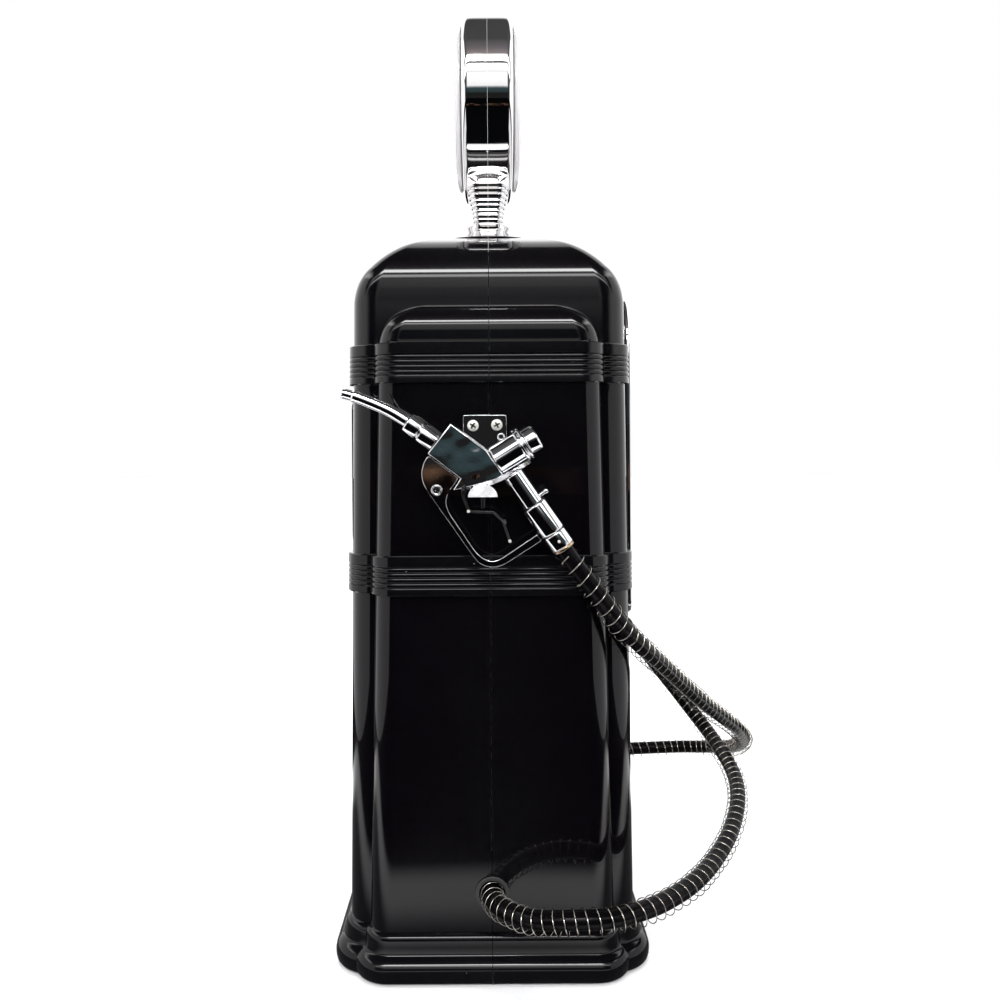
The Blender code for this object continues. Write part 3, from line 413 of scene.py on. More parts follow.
DUST = (0.55, 0.53, 0.50)
FINISHES = {
    # The faint violet in the polished black plastic's base colours is a painted sheen, standing in for the bluish
    # tint of its reflections.
    "black_gloss": finish("polished_black_plastic", (0.0011, 0.0008, 0.0014), (0.0014, 0.0011, 0.0018), 0.0,
                          (0.15, 0.20), (14.0, 300.0), 0.00003, (190.0, 0.06, DUST),
                          (6.0, (0.006, 0.006, 0.007)), coat=1.0, ripple=0.02, specular=0.05, coat_ior=1.36),
    "black_matte": finish("moulded_black_plastic", (0.018, 0.018, 0.019), (0.028, 0.028, 0.029), 0.0,
                          (0.45, 0.62), (300.0, 1500.0), 0.00005, (400.0, 0.09, DUST)),
    "rubber": finish("soft_black_rubber", (0.012, 0.012, 0.012), (0.022, 0.021, 0.02), 0.0, (0.6, 0.8),
                     (260.0, 2400.0), 0.00006, (500.0, 0.09, DUST), (8.0, (0.05, 0.05, 0.05))),
    "globe_chrome": finish("plated_plastic_chrome", (0.86, 0.86, 0.88), (0.80, 0.78, 0.77), 1.0, (0.02, 0.06),
                           (22.0, 160.0), 0.00007, (340.0, 0.06, (0.4, 0.38, 0.36)), ripple=0.12),
    "chrome": finish("polished_chrome", (0.88, 0.88, 0.90), (0.82, 0.82, 0.83), 1.0, (0.02, 0.07), (45.0, 500.0),
                     0.00002, (700.0, 0.05, (0.3, 0.29, 0.28)), ripple=0.15),
    "cast_chrome": finish("plated_cast_chrome", (0.86, 0.86, 0.88), (0.80, 0.80, 0.81), 1.0, (0.02, 0.06),
                          (75.0, 500.0), 0.00055, (700.0, 0.05, (0.3, 0.29, 0.28)), ripple=0.03),
    "bright_steel": finish("nickel_screws", (0.84, 0.84, 0.78), (0.72, 0.71, 0.64), 0.7, (0.34, 0.46),
                           (500.0, 2600.0), 0.00003, None, (8.0, (0.9, 0.9, 0.88))),
    "wire": finish("stainless_wire", (0.56, 0.53, 0.48), (0.42, 0.39, 0.35), 1.0, (0.14, 0.26), (200.0, 2500.0),
                   0.000015),
    "dark_steel": finish("blackened_metal_and_recess_shade", (0.010, 0.010, 0.011), (0.02, 0.018, 0.018), 0.8, (0.2, 0.36),
                         (300.0, 1800.0), 0.00004, (900.0, 0.08, DUST), (9.0, (0.2, 0.19, 0.19)), specular=0.3),
    "brass": finish("thin_brass_ring", (0.62, 0.47, 0.33), (0.50, 0.36, 0.25), 1.0, (0.18, 0.34),
                    (260.0, 2200.0), 0.00003, None, (10.0, (0.85, 0.7, 0.5))),
    "hose": finish("black_vinyl_hose", (0.0015, 0.0014, 0.0018), (0.003, 0.0026, 0.003), 0.0, (0.16, 0.26),
                   (120.0, 900.0), 0.00006, (600.0, 0.1, DUST), specular=0.08),
    "tank": finish("milky_tank_plastic", (0.80, 0.82, 0.81), (0.74, 0.76, 0.75), 0.0, (0.3, 0.45), (60.0, 700.0),
                   0.00006, None, None, transmission=0.25),
    "dial": finish("cream_dial_card", (0.80, 0.75, 0.63), (0.74, 0.69, 0.57), 0.0, (0.45, 0.6), (300.0, 3000.0),
                   0.00002),
    "window": finish("clear_window", (0.96, 0.97, 0.97), (0.94, 0.95, 0.95), 0.0, (0.02, 0.05), (30.0, 300.0),
                     0.00002, None, None, transmission=1.0, ior=1.49),
    "lens": finish("milky_lens", (0.80, 0.78, 0.80), (0.76, 0.75, 0.76), 0.0, (0.05, 0.1), (30.0, 300.0), 0.00003,
                   None, None, coat=1.0, transmission=0.35, ior=1.49),
}
print("finishes:", len(FINISHES))

# %% [markdown]
# Every shape here starts as rings of points: a loft skins a stack of rings, a lathe spins a profile,
# a prism gives an outline thickness and a sweep carries a circle along a path.
# Corners of profiles are rounded before they are spun, because a real edge always has a small
# radius that catches the light.


# %% Placing and finishing a piece
UP = Vector((0, 0, 1))


def v(x, y, z):
    return Vector((x, y, z)) * MM


def settle(name, bm, sharp=32.0):
    bmesh.ops.remove_doubles(bm, verts=bm.verts, dist=1e-7)
    bmesh.ops.recalc_face_normals(bm, faces=bm.faces)
    mesh = bpy.data.meshes.new(name)
    bm.to_mesh(mesh)
    bm.free()
    soften_shading(mesh, sharp)
    return show(name, mesh)


def soften_shading(mesh, sharp):
    mesh.polygons.foreach_set("use_smooth", [True] * len(mesh.polygons))
    mesh.set_sharp_from_angle(angle=math.radians(sharp))


def repaint(made, *paints):
    made.data.materials.clear()
    for paint in paints:
        made.data.materials.append(FINISHES[paint])


def mount(made, paint, body, *nodes, slot=None):
    """Give a piece its finish, its body and the solids it stands for; slot is not used."""
    repaint(made, paint)
    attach(made, body)
    if nodes:
        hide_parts(*nodes)
    return made


ROUNDED_ABOVE = math.radians(35.0)


def round_edges(made, width, segments):
    bevel = made.modifiers.new("rounded_edges", "BEVEL")
    bevel.width = width * MM
    bevel.segments = segments
    bevel.limit_method = "ANGLE"
    bevel.angle_limit = ROUNDED_ABOVE
    bevel.harden_normals = True
    bevel.use_clamp_overlap = True
    return made


def carve(target, kind, tools, sharp=32.0, keep_paint=False):
    """Cut or join with exact Booleans, keep the result as the mesh and shade it smooth, with sharp edges by angle.
    """
    for tool in tools:
        step = target.modifiers.new("carve", "BOOLEAN")
        step.operation = kind
        step.solver = "EXACT"
        step.object = tool
        step.material_mode = "TRANSFER" if keep_paint else "INDEX"
    graph = bpy.context.evaluated_depsgraph_get()
    mesh = bpy.data.meshes.new_from_object(target.evaluated_get(graph))
    target.modifiers.clear()
    target.data = mesh
    soften_shading(mesh, sharp)
    return target


def discard(*tools):
    for tool in tools:
        bpy.data.objects.remove(tool, do_unlink=True)


def even_shading(made):
    weighted = made.modifiers.new("even_shading", "WEIGHTED_NORMAL")
    weighted.keep_sharp = True
    weighted.mode = "FACE_AREA"
    return made


# %% Shapes from rings
def bridge(bm, low, high):
    for i in range(len(low)):
        j = (i + 1) % len(low)
        bm.faces.new((low[i], low[j], high[j], high[i]))


def loft(rings, closed=False):
    bm = bmesh.new()
    made = [[bm.verts.new(p) for p in ring] for ring in rings]
    for low, high in zip(made, made[1:]):
        bridge(bm, low, high)
    if closed:
        bridge(bm, made[-1], made[0])
    else:
        bm.faces.new(made[0])
        bm.faces.new(made[-1])
    return bm


def rounded_corners(points, radius, steps=3, closed=False):
    """Round the corners of a 2-D line by up to radius, with small arcs."""
    count = len(points)
    made = []
    for i, here in enumerate(points):
        if not closed and i in (0, count - 1):
            made.append(tuple(here))
            continue
        here = Vector(here)
        before, after = Vector(points[i - 1]), Vector(points[(i + 1) % count])
        back, ahead = before - here, after - here
        reach = min(radius, 0.45 * back.length, 0.45 * ahead.length)
        if reach < 1e-6 or back.angle(-ahead, 0.0) < math.radians(8.0):
            made.append(tuple(here))
            continue
        start, end = here + back.normalized() * reach, here + ahead.normalized() * reach
        for k in range(steps + 1):
            t = k / steps
            made.append(tuple(start * (1 - t) ** 2 + here * 2 * t * (1 - t) + end * t ** 2))
    return made


def lathe(profile, origin, axis, segments=64, closed=False, soften=0.0):
    if soften:
        profile = rounded_corners(profile, soften, closed=closed)
    axis = axis.normalized()
    side = axis.orthogonal().normalized()
    other = axis.cross(side)
    rings = []
    for radius, along in profile:
        rings.append([origin + axis * along * MM
                      + (side * math.cos(2 * math.pi * k / segments)
                         + other * math.sin(2 * math.pi * k / segments)) * radius * MM
                      for k in range(segments)])
    return loft(rings, closed)


def prism(outline, low, high, place):
    return loft([[place(x, u, z) for u, z in outline] for x in (low, high)])


def rounded_rectangle(half_x, half_y, radius, z, steps=12):
    radius = min(radius, 0.45 * half_x, 0.45 * half_y)
    ring = []
    for quarter in range(4):
        sx = 1 if quarter in (0, 3) else -1
        sy = 1 if quarter in (0, 1) else -1
        for k in range(steps + 1):
            a = math.radians(90.0) * (quarter + k / steps)
            ring.append(v(sx * (half_x - radius) + radius * math.cos(a),
                          sy * (half_y - radius) + radius * math.sin(a), z))
    return ring


# %% Smooth paths and sweeps
def smooth_path(route, step):
    """Evenly spaced points, in metres, along a Catmull-Rom curve through a route in metres."""
    pts = [Vector(p) for p in route]
    pts = [2 * pts[0] - pts[1]] + pts + [2 * pts[-1] - pts[-2]]
    fine = []
    for a, b, c, d in zip(pts, pts[1:], pts[2:], pts[3:]):
        for k in range(24):
            t = k / 24
            fine.append(0.5 * (2 * b + (c - a) * t + (2 * a - 5 * b + 4 * c - d) * t * t
                               + (3 * b - a - 3 * c + d) * t ** 3))
    fine.append(pts[-2])
    total = sum((b - a).length for a, b in zip(fine, fine[1:]))
    count = max(2, round(total / step))
    even = [fine[0]]
    walked = 0.0
    for a, b in zip(fine, fine[1:]):
        length = (b - a).length
        while len(even) < count and walked + length >= total * len(even) / count:
            even.append(a.lerp(b, (total * len(even) / count - walked) / length))
        walked += length
    even.append(fine[-1])
    return even, total


def frames(path):
    tangents = []
    for i in range(len(path)):
        tangents.append((path[min(len(path) - 1, i + 1)] - path[max(0, i - 1)]).normalized())
    side = tangents[0].orthogonal().normalized()
    made = []
    for t in tangents:
        side = (side - t * side.dot(t)).normalized()
        made.append((t, side, t.cross(side)))
    return made


def sweep(path, radii, sides):
    rings = []
    for point, radius, (_, side, other) in zip(path, radii, frames(path)):
        rings.append([point + (side * math.cos(2 * math.pi * k / sides)
                               + other * math.sin(2 * math.pi * k / sides)) * radius for k in range(sides)])
    return rings


# %% [markdown]
# The two hoses are the loosest pieces, so they are made before everything that stands still. Each is a
# black tube inside a springy wire that keeps it from kinking. It runs from a nozzle across the
# front of the pump to the outlet low on the other side. The wire's turns stand apart where
# the hose is straight and crowd together where it bends.

# %% Where the nozzles and hoses are
NOZZLE_X = 101.0
HANDLE_START = (10.1, 248.0)
HANDLE_DIR = (0.561, -0.828)
OUTLET_Z = 42.0
HOSE_RADIUS = 4.3
COIL_RADIUS = 5.8
WIRE_RADIUS = 0.23


def nozzle_point(start, line, along, across=0.0):
    return (start[0] + line[0] * along - line[1] * across, start[1] + line[1] * along + line[0] * across)


hose_u, hose_z = (x * MM for x in nozzle_point(HANDLE_START, HANDLE_DIR, 44.9))
hose_u2, hose_z2 = (x * MM for x in nozzle_point(HANDLE_START, HANDLE_DIR, 54.9))
ROUTES = {
    "left": [(-0.101, -hose_u, hose_z), (-0.101, -hose_u2, hose_z2), (-0.099, -0.051, 0.1895),
             (-0.092, -0.0621, 0.1742), (-0.078, -0.0745, 0.1605), (-0.056, -0.0885, 0.146),
             (-0.030, -0.104, 0.1295), (0.0, -0.1243, 0.1089), (0.024, -0.1406, 0.094),
             (0.047, -0.1556, 0.0796), (0.076, -0.167, 0.064), (0.103, -0.168, 0.0505),
             (0.122, -0.155, 0.0438), (0.131, -0.136, 0.041), (0.132, -0.114, 0.040), (0.129, -0.088, 0.040),
             (0.123, -0.058, 0.0405), (0.116, -0.032, 0.0415), (0.109, -0.0135, 0.042), (0.099, -0.003, 0.042),
             (0.088, 0.0, 0.042), (0.0795, 0.0, 0.042)],
    "right": [(0.101, -hose_u, hose_z), (0.101, -hose_u2, hose_z2), (0.100, -0.050, 0.190),
              (0.097, -0.066, 0.170), (0.093, -0.084, 0.148), (0.087, -0.104, 0.120), (0.080, -0.122, 0.097),
              (0.070, -0.134, 0.0815), (0.058, -0.140, 0.0736), (0.040, -0.1436, 0.0678),
              (0.012, -0.1442, 0.0626), (-0.015, -0.139, 0.0578), (-0.042, -0.128, 0.0524),
              (-0.066, -0.114, 0.0485), (-0.088, -0.0987, 0.0472), (-0.104, -0.083, 0.0467),
              (-0.115, -0.0687, 0.0469), (-0.122, -0.053, 0.047), (-0.124, -0.034, 0.0472),
              (-0.119, -0.0184, 0.045), (-0.110, -0.009, 0.0436), (-0.098, -0.0018, 0.0422),
              (-0.088, 0.0, 0.042), (-0.0795, 0.0, 0.042)],
}


# %% Hose and wire
HOSE_STEP = 0.0022
WIRE_STEP = 0.00022
BEND_SPAN = 0.003
FULLY_BENT = 26.0
OPEN_PITCH, USUAL_PITCH, BENT_PITCH = 8.4 * MM, 6.7 * MM, 4.4 * MM
OPEN_REACH = 0.11
WIRE_SAG = 0.85
SAG_REACH = 0.02


def wire_coil(path, phase):
    """Points of a coil around the path: open near the nozzle, closer where the path bends."""
    step = (path[1] - path[0]).length
    reach = max(1, round(BEND_SPAN / step))
    made = []
    angle = phase
    for i, (point, (along, side, other)) in enumerate(zip(path, frames(path))):
        before, after = path[max(0, i - reach)], path[min(len(path) - 1, i + reach)]
        turning = (after - point).normalized() - (point - before).normalized()
        bend = min(1.0, turning.length / (reach * step) / FULLY_BENT)
        usual = OPEN_PITCH + (USUAL_PITCH - OPEN_PITCH) * min(1.0, i * step / OPEN_REACH)
        pitch = usual + (BENT_PITCH - usual) * bend
        angle += 2 * math.pi * step / pitch
        loose = COIL_RADIUS + 0.12 * math.sin(angle * 0.17) + 0.08 * math.sin(angle * 0.41) - 0.1
        down = Vector((along.x * along.z, along.y * along.z, along.z * along.z - 1.0))
        sag = WIRE_SAG * min(1.0, i * step / SAG_REACH, (len(path) - 1 - i) * step / SAG_REACH)
        made.append(point + ((side * math.cos(angle) + other * math.sin(angle)) * loose + down * sag) * MM)
    return made


for word, route in ROUTES.items():
    path, hose_length = smooth_path(route, HOSE_STEP)
    tube = settle("drink_hose_" + word, loft(sweep(path, [HOSE_RADIUS * MM] * len(path), 24)), 60.0)
    mount(tube, "hose", "case", "hose_" + word, slot="hose")
    close, _ = smooth_path(route, WIRE_STEP)
    first = next(i for i, p in enumerate(close) if (p - close[0]).length > 3.0 * MM)
    coil_path = wire_coil(close[first:-4], 0.6)
    wire = settle("hose_wire_" + word, loft(sweep(coil_path, [WIRE_RADIUS * MM] * len(coil_path), 6)), 80.0)
    mount(wire, "wire", "case", "hose_spring_" + word, slot="steel")
    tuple(route[-1])
    print(word, "hose is", round(hose_length, 4), "m long, wire has", len(coil_path), "points")

# %% [markdown]
# The case is a clamshell moulding of glossy black plastic in two halves. Its section is a rounded
# rectangle with a second, deeper and narrower one through it for the side panels, and its top is
# an arch in both directions. Ribbed bands and a plinth are part of the same moulding, so they
# are extra rings in the same loft. The halves are cut a hair apart, which draws the fine seam line.

# %% Case sizes
BODY_TOP = 376.5
BODY_HALF_WIDTH, BODY_HALF_DEPTH, BODY_CORNER = 76.0, 69.3, 14.0
ARCH_ACROSS = (168.0, math.radians(20.0), 28.0)
ARCH_ALONG = (86.0, math.radians(45.6), 27.0)
PANEL_TOP = 331.0
PANEL_HALF_WIDTH, PANEL_HALF_DEPTH, PANEL_CORNER = 87.5, 55.5, 12.0
PANEL_ARCH, PANEL_EDGE = 22.0, 14.0
DRAFT_FOOT = 24.0
BODY_DRAFT, BODY_DRAFT_FROM = 2.3 / 280.0, 331.8
PANEL_DRAFT, PANEL_DRAFT_FROM = 5.4 / 280.0, 300.0
SEAT_Z = 371.0
SEAT_RADIUS = 37.8
WALL = 2.6
GAP = 0.3
SEAM = 0.15
BANDS = ((187.0, 206.5), (291.0, 311.0))
BAND_PROUD = 2.0
RIB_PITCH = 2.5
PLINTH = ((1.0, 5.6), (1.6, 6.3), (2.6, 6.95), (4.0, 7.3), (5.8, 7.5), (7.5, 7.5), (9.2, 7.15), (10.5, 6.5),
          (11.6, 5.5), (12.5, 4.3), (13.2, 3.4), (14.0, 3.0), (17.0, 2.75), (19.6, 2.5), (21.0, 2.3),
          (21.9, 1.7), (22.6, 0.8), (23.0, 0.0), (23.6, 0.0))


def arch_half(drop, crown, angle, shoulder, half):
    """Half width at a drop below the top of an arc that turns into a tighter shoulder."""
    rise = crown * (1 - math.cos(angle))
    full = rise + shoulder * math.cos(angle)
    if drop <= rise:
        return math.sqrt(max(0.0, crown ** 2 - (crown - drop) ** 2))
    if drop < full:
        return half - shoulder + math.sqrt(shoulder ** 2 - (full - drop) ** 2)
    return half


def body_size(z, top=BODY_TOP):
    drop = max(0.0, top - z)
    draft = BODY_DRAFT * max(0.0, BODY_DRAFT_FROM - max(z, DRAFT_FOOT))
    return (arch_half(drop, *ARCH_ACROSS, BODY_HALF_WIDTH) + draft,
            arch_half(drop, *ARCH_ALONG, BODY_HALF_DEPTH) + draft)


def panel_size(z):
    draft = PANEL_DRAFT * max(0.0, PANEL_DRAFT_FROM - max(z, DRAFT_FOOT))
    arch = max(0.0, z - (PANEL_TOP - PANEL_ARCH))
    edge = max(0.0, z - (PANEL_TOP - PANEL_EDGE))
    half_depth = PANEL_HALF_DEPTH - PANEL_ARCH + math.sqrt(max(0.0, PANEL_ARCH ** 2 - arch ** 2))
    half_width = PANEL_HALF_WIDTH - PANEL_EDGE + math.sqrt(max(0.0, PANEL_EDGE ** 2 - edge ** 2))
    return half_width, half_depth + draft


# %% Levels of the loft
def band_levels(low, high):
    """A band's rings: a flat edge, four half-round ribs between five grooves, a flat edge."""
    levels = [(low - 0.5, 0.0), (low, 0.1), (low + 0.12, 1.6), (low + 0.5, BAND_PROUD)]
    first = low + 3.9
    levels += [(first - 0.55, BAND_PROUD), (first - 0.25, BAND_PROUD - 0.16), (first - 0.08, BAND_PROUD - 0.5)]
    half = RIB_PITCH / 2
    for rib in range(4):
        middle = first + (rib + 0.5) * RIB_PITCH
        for share in (-0.97, -0.88, -0.72, -0.45, 0.0, 0.45, 0.72, 0.88, 0.97):
            levels.append((middle + share * half, BAND_PROUD - 0.62 * abs(share) ** 5))
    last = first + 4 * RIB_PITCH
    levels += [(last + 0.08, BAND_PROUD - 0.5), (last + 0.25, BAND_PROUD - 0.16), (last + 0.55, BAND_PROUD)]
    return levels + [(high - 0.5, BAND_PROUD), (high - 0.12, 1.6), (high, 0.1), (high + 0.5, 0.0)]


CORNER_TIGHTENS = 0.6
TIGHTENING_HEIGHT = 34.0


def outer_rings(size, corner, upper, soften_from):
    """All rings of a block, from the plinth through the bands; its corners tighten above a height."""
    levels = list(PLINTH) + [(z, 0.0) for z in (60.0, 110.0, 150.0, 182.0)]
    for low, high in BANDS:
        levels += band_levels(low, high)
        if high < 250.0:
            levels += [(z, 0.0) for z in (225.0, 255.0, 280.0)]
    levels += [(z, 0.0) for z in upper]
    rings = []
    for z, out in levels:
        half_x, half_y = size(z)
        t = min(1.0, max(0.0, (z - soften_from) / TIGHTENING_HEIGHT))
        radius = (corner + 0.6 * out) * (1.0 - CORNER_TIGHTENS * t * t * (3.0 - 2.0 * t))
        rings.append(rounded_rectangle(half_x + out, half_y + out, radius, z))
    return rings


def spaced(low, high, step):
    count = max(1, round((high - low) / step))
    return [low + (high - low) * k / count for k in range(count + 1)]


# %% Blocks that the case is cut from
BODY_LEVELS = spaced(316.0, PANEL_TOP, 5.0) + spaced(333.0, 369.0, 0.9) + spaced(369.5, 374.5, 0.5)
BODY_SOFTENS, PANEL_SOFTENS = 336.0, 313.0
PANEL_LEVELS = [PANEL_SOFTENS] + spaced(316.0, 329.0, 0.75) + spaced(329.3, 330.9, 0.2)
panel_block = settle("panel_block", loft(outer_rings(panel_size, PANEL_CORNER, PANEL_LEVELS, PANEL_SOFTENS)))
seat_block = settle("seat_block", lathe([(SEAT_RADIUS, 350.0), (SEAT_RADIUS, SEAT_Z)], v(0, 0, 0), UP, 96))
seat_cut = settle("seat_cut", lathe([(SEAT_RADIUS, SEAT_Z), (SEAT_RADIUS, 390.0)], v(0, 0, 0), UP, 96))


def pad_outline(half, low, high, top_radius, low_radius, steps=16):
    pts = []
    for cx, cz, radius, start in ((half - top_radius, high - top_radius, top_radius, 0),
                                  (-half + top_radius, high - top_radius, top_radius, 90),
                                  (-half + low_radius, low + low_radius, low_radius, 180),
                                  (half - low_radius, low + low_radius, low_radius, 270)):
        for k in range(steps + 1):
            a = math.radians(start + 90 * k / steps)
            pts.append((cx + radius * math.cos(a), cz + radius * math.sin(a)))
    return pts


def front_place(y, x, z):
    return v(x, -y, z)


def rear_place(y, x, z):
    return v(x, y, z)


PAD_Y = 71.6
pad_shape = pad_outline(54.0, 168.0, 349.0, 40.0, 6.0)
front_pad = settle("front_pad", prism(pad_shape, 50.0, PAD_Y, front_place))
front_clear = settle("front_clear", prism(pad_shape, PAD_Y, 90.0, front_place))


def hollow(name, levels, size, corner):
    """The inside of a block: its section less the wall, going straight down from a low level."""
    rings = []
    for z in levels:
        half_x, half_y = size(max(z, 60.0))
        rings.append(rounded_rectangle(half_x - WALL, half_y - WALL, corner - WALL, z, 6))
    return settle(name, loft(rings))


body_hollow = hollow("body_hollow", (-5.0, 60.0, 200.0, PANEL_TOP, 340.0, 347.0, 353.0, 358.0, 362.5, 367.0),
                     lambda z: body_size(z, BODY_TOP - 2.8), BODY_CORNER)
panel_hollow = hollow("panel_hollow", (-5.0, 60.0, 200.0, 300.0, 311.0, 319.0, 325.0),
                      lambda z: panel_size(z + 2.6), PANEL_CORNER)
holes = []
for side in (-1, 1):
    holes.append(settle("fill_hole", lathe([(9.0, 360.0), (9.0, 380.0)], v(side * 17.0, 0, 0), UP, 48)))
    holes.append(settle("outlet_hole", lathe([(7.4, 70.0), (7.4, 95.0)], v(0, 0, OUTLET_Z),
                                             Vector((side, 0, 0)), 48)))
print("blocks and holes for the case are ready")


# %% Both halves of the case
def half_box(name, sign, gap, low_z, high_z):
    """A box that keeps one side of the seam, which is left open by a gap."""
    low, high = sorted((sign * gap, sign * 200.0))
    return settle(name, prism([(low, low_z), (high, low_z), (high, high_z), (low, high_z)], -200.0, 200.0, v))


def half_case(name, sign, node, joined, cut):
    made = settle(name, loft(outer_rings(body_size, BODY_CORNER, BODY_LEVELS, BODY_SOFTENS)))
    carve(made, "UNION", joined)
    carve(made, "DIFFERENCE", cut + [seat_cut, body_hollow, panel_hollow] + holes)
    keep = half_box(name + "_side", sign, SEAM, -10.0, 400.0)
    carve(made, "INTERSECT", [keep])
    discard(keep)
    even_shading(made)
    mount(made, "black_gloss", "case", node, slot="black_gloss")
    print(name, "has", len(made.data.polygons), "faces")


half_case("front_moulding", -1, "front_shell", [panel_block, seat_block, front_pad], [front_clear])
half_case("rear_moulding", 1, "rear_shell", [panel_block, seat_block], [])
discard(panel_block, seat_block, seat_cut, front_pad, front_clear, body_hollow, panel_hollow, *holes)

# %% [markdown]
# Under and inside the case are the plain working pieces: a base plate, four feet, two tanks with
# their outlets, and the rubber grommets that the hoses leave through. The solids of most are
# already right, so they only get a finish.

# %% Base, feet, tanks and grommets
for name, paint in (("base_plate", "black_matte"), ("tank_left", "tank"), ("tank_right", "tank"),
                    ("outlet_elbow_left", "black_matte"), ("outlet_elbow_right", "black_matte"),
                    ("dial_face", "dial"), ("dial_window", "window")):
    repaint(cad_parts[name], paint)
foot_profile = [(0.01, 0.5), (4.0, 0.5), (4.6, 0.0), (6.5, 0.0), (7.0, 0.6), (7.0, 3.2), (0.01, 3.2)]
for x, left_right in ((-58.0, "left"), (58.0, "right")):
    for y, front_rear in ((-46.0, "front"), (46.0, "rear")):
        where = f"{front_rear}_{left_right}"
        foot = settle("foot_pad_" + where, lathe(foot_profile, v(x, y, 0), UP, 40, soften=0.3))
        mount(foot, "rubber", "case", "foot_" + where, slot="rubber")
grommet_profile = [(6.4, 82.0), (7.1, 82.0), (7.1, 87.8), (8.4, 87.8), (8.4, 88.3), (7.9, 88.7), (6.4, 88.7)]
for side, word in ((-1, "left"), (1, "right")):
    grommet = settle("outlet_grommet_" + word, lathe(grommet_profile, v(0, 0, OUTLET_Z), Vector((side, 0, 0)), 56,
                                                     closed=True, soften=0.25))
    mount(grommet, "rubber", "case", "hose_grommet_" + word, slot="rubber")

# %% [markdown]
# The globe on top is two plated shells that meet on a seam, a short ribbed neck and a flared collar.
# It is the brightest piece: its broad rim is slightly crowned, so it gathers the whole room
# into a few bands. A lathe makes the rim. The neck is a loft of rings that turn from round to
# soft-cornered, and their size ripples with each rib.

# %% Globe
GLOBE_Z = 454.0
GLOBE_RADIUS = 53.5
LENS_RADIUS = 46.5
NECK_STEPS = 112
NECK = [(SEAT_Z + GAP, 35.4, 35.4), (SEAT_Z + 1.4, 36.1, 36.1), (SEAT_Z + 2.3, 36.5, 36.5),
        (SEAT_Z + 2.8, 36.3, 36.3), (374.3, 35.2, 34.9),
        (375.5, 33.0, 32.0), (377.2, 30.1, 28.2), (379.0, 27.0, 24.0), (380.8, 23.8, 19.2), (382.5, 21.0, 15.0),
        (383.8, 19.1, 11.9), (385.0, 17.6, 9.8)]
RIBS_FROM, RIBS_TO, RIB_HEIGHT = 386.0, 411.0, 2.45
RIBBED = [(RIBS_FROM, 16.8, 8.6), (393.0, 16.8, 9.4), (400.0, 19.5, 11.2), (406.0, 24.0, 12.6),
          (RIBS_TO, 28.5, 13.2)]


def neck_size(z):
    for (z0, x0, y0), (z1, x1, y1) in zip(RIBBED, RIBBED[1:]):
        if z <= z1:
            t = (z - z0) / (z1 - z0)
            return x0 + (x1 - x0) * t, y0 + (y1 - y0) * t
    return RIBBED[-1][1:]


def neck_ring(rx, ry, z):
    """A round ring at the collar that turns into a soft-cornered box further up."""
    power = 2.0 / (2.0 + 3.0 * min(1.0, max(0.0, (z - 377.0) / 8.0)))
    ring = []
    for k in range(NECK_STEPS):
        c, s = math.cos(2 * math.pi * k / NECK_STEPS), math.sin(2 * math.pi * k / NECK_STEPS)
        ring.append(v(math.copysign(abs(c) ** power, c) * rx, math.copysign(abs(s) ** power, s) * ry, z))
    return ring


def half_globe(name, sign, node):
    axis = Vector((0, sign, 0))
    rim = [(LENS_RADIUS - 2.5, -2.0), (GLOBE_RADIUS, -2.0), (GLOBE_RADIUS, 6.0), (GLOBE_RADIUS - 0.05, 9.0),
           (GLOBE_RADIUS - 0.2, 11.0), (GLOBE_RADIUS - 0.6, 12.1), (GLOBE_RADIUS - 1.4, 13.0),
           (GLOBE_RADIUS - 2.8, 13.7), (GLOBE_RADIUS - 5.0, 14.0), (LENS_RADIUS - 2.5, 14.0)]
    made = settle(name, lathe(rim, v(0, 0, GLOBE_Z), axis, 144, closed=True, soften=0.5))
    rings = [neck_ring(rx, ry, z) for z, rx, ry in NECK]
    for z in spaced(RIBS_FROM, RIBS_TO, 0.25):
        rx, ry = neck_size(z)
        rib = 0.5 * abs(math.sin(math.pi * (z - RIBS_FROM) / RIB_HEIGHT)) - 0.35
        rings.append(neck_ring(rx + rib, ry + rib, z))
    neck = settle(name + "_neck", loft(rings))
    carve(made, "UNION", [neck])
    keep = half_box(name + "_side", sign, 0.06, 300.0, 560.0)
    carve(made, "INTERSECT", [keep])
    discard(neck, keep)
    even_shading(made)
    mount(made, "globe_chrome", "globe", node, slot="chrome")


half_globe("globe_shell_front", -1, "globe_front")
half_globe("globe_shell_rear", 1, "globe_rear")
for sign, word in ((-1, "front"), (1, "rear")):
    profile = [(0.01, 14.3), (LENS_RADIUS - 0.6, 14.3), (LENS_RADIUS, 14.9), (LENS_RADIUS - 0.1, 15.6)]
    for k in range(1, 15):
        a = math.radians(90.0 * k / 14)
        profile.append((max(0.01, (LENS_RADIUS - 0.3) * math.cos(a) ** 0.62), 15.6 + 5.35 * math.sin(a)))
    lens = settle("globe_lens_" + word, lathe(profile, v(0, 0, GLOBE_Z), Vector((0, sign, 0)), 96), 50.0)
    mount(lens, "lens", "globe", "lens_" + word, slot="lens")
print("globe top at", GLOBE_Z + GLOBE_RADIUS, "mm")

# %% [markdown]
# The front carries a plated frame round a window, and the front and back each have a plain raised
# plate. They are outlines with thickness. A narrow bevel on every edge gives the thin bright
# lines that plated and moulded edges have.

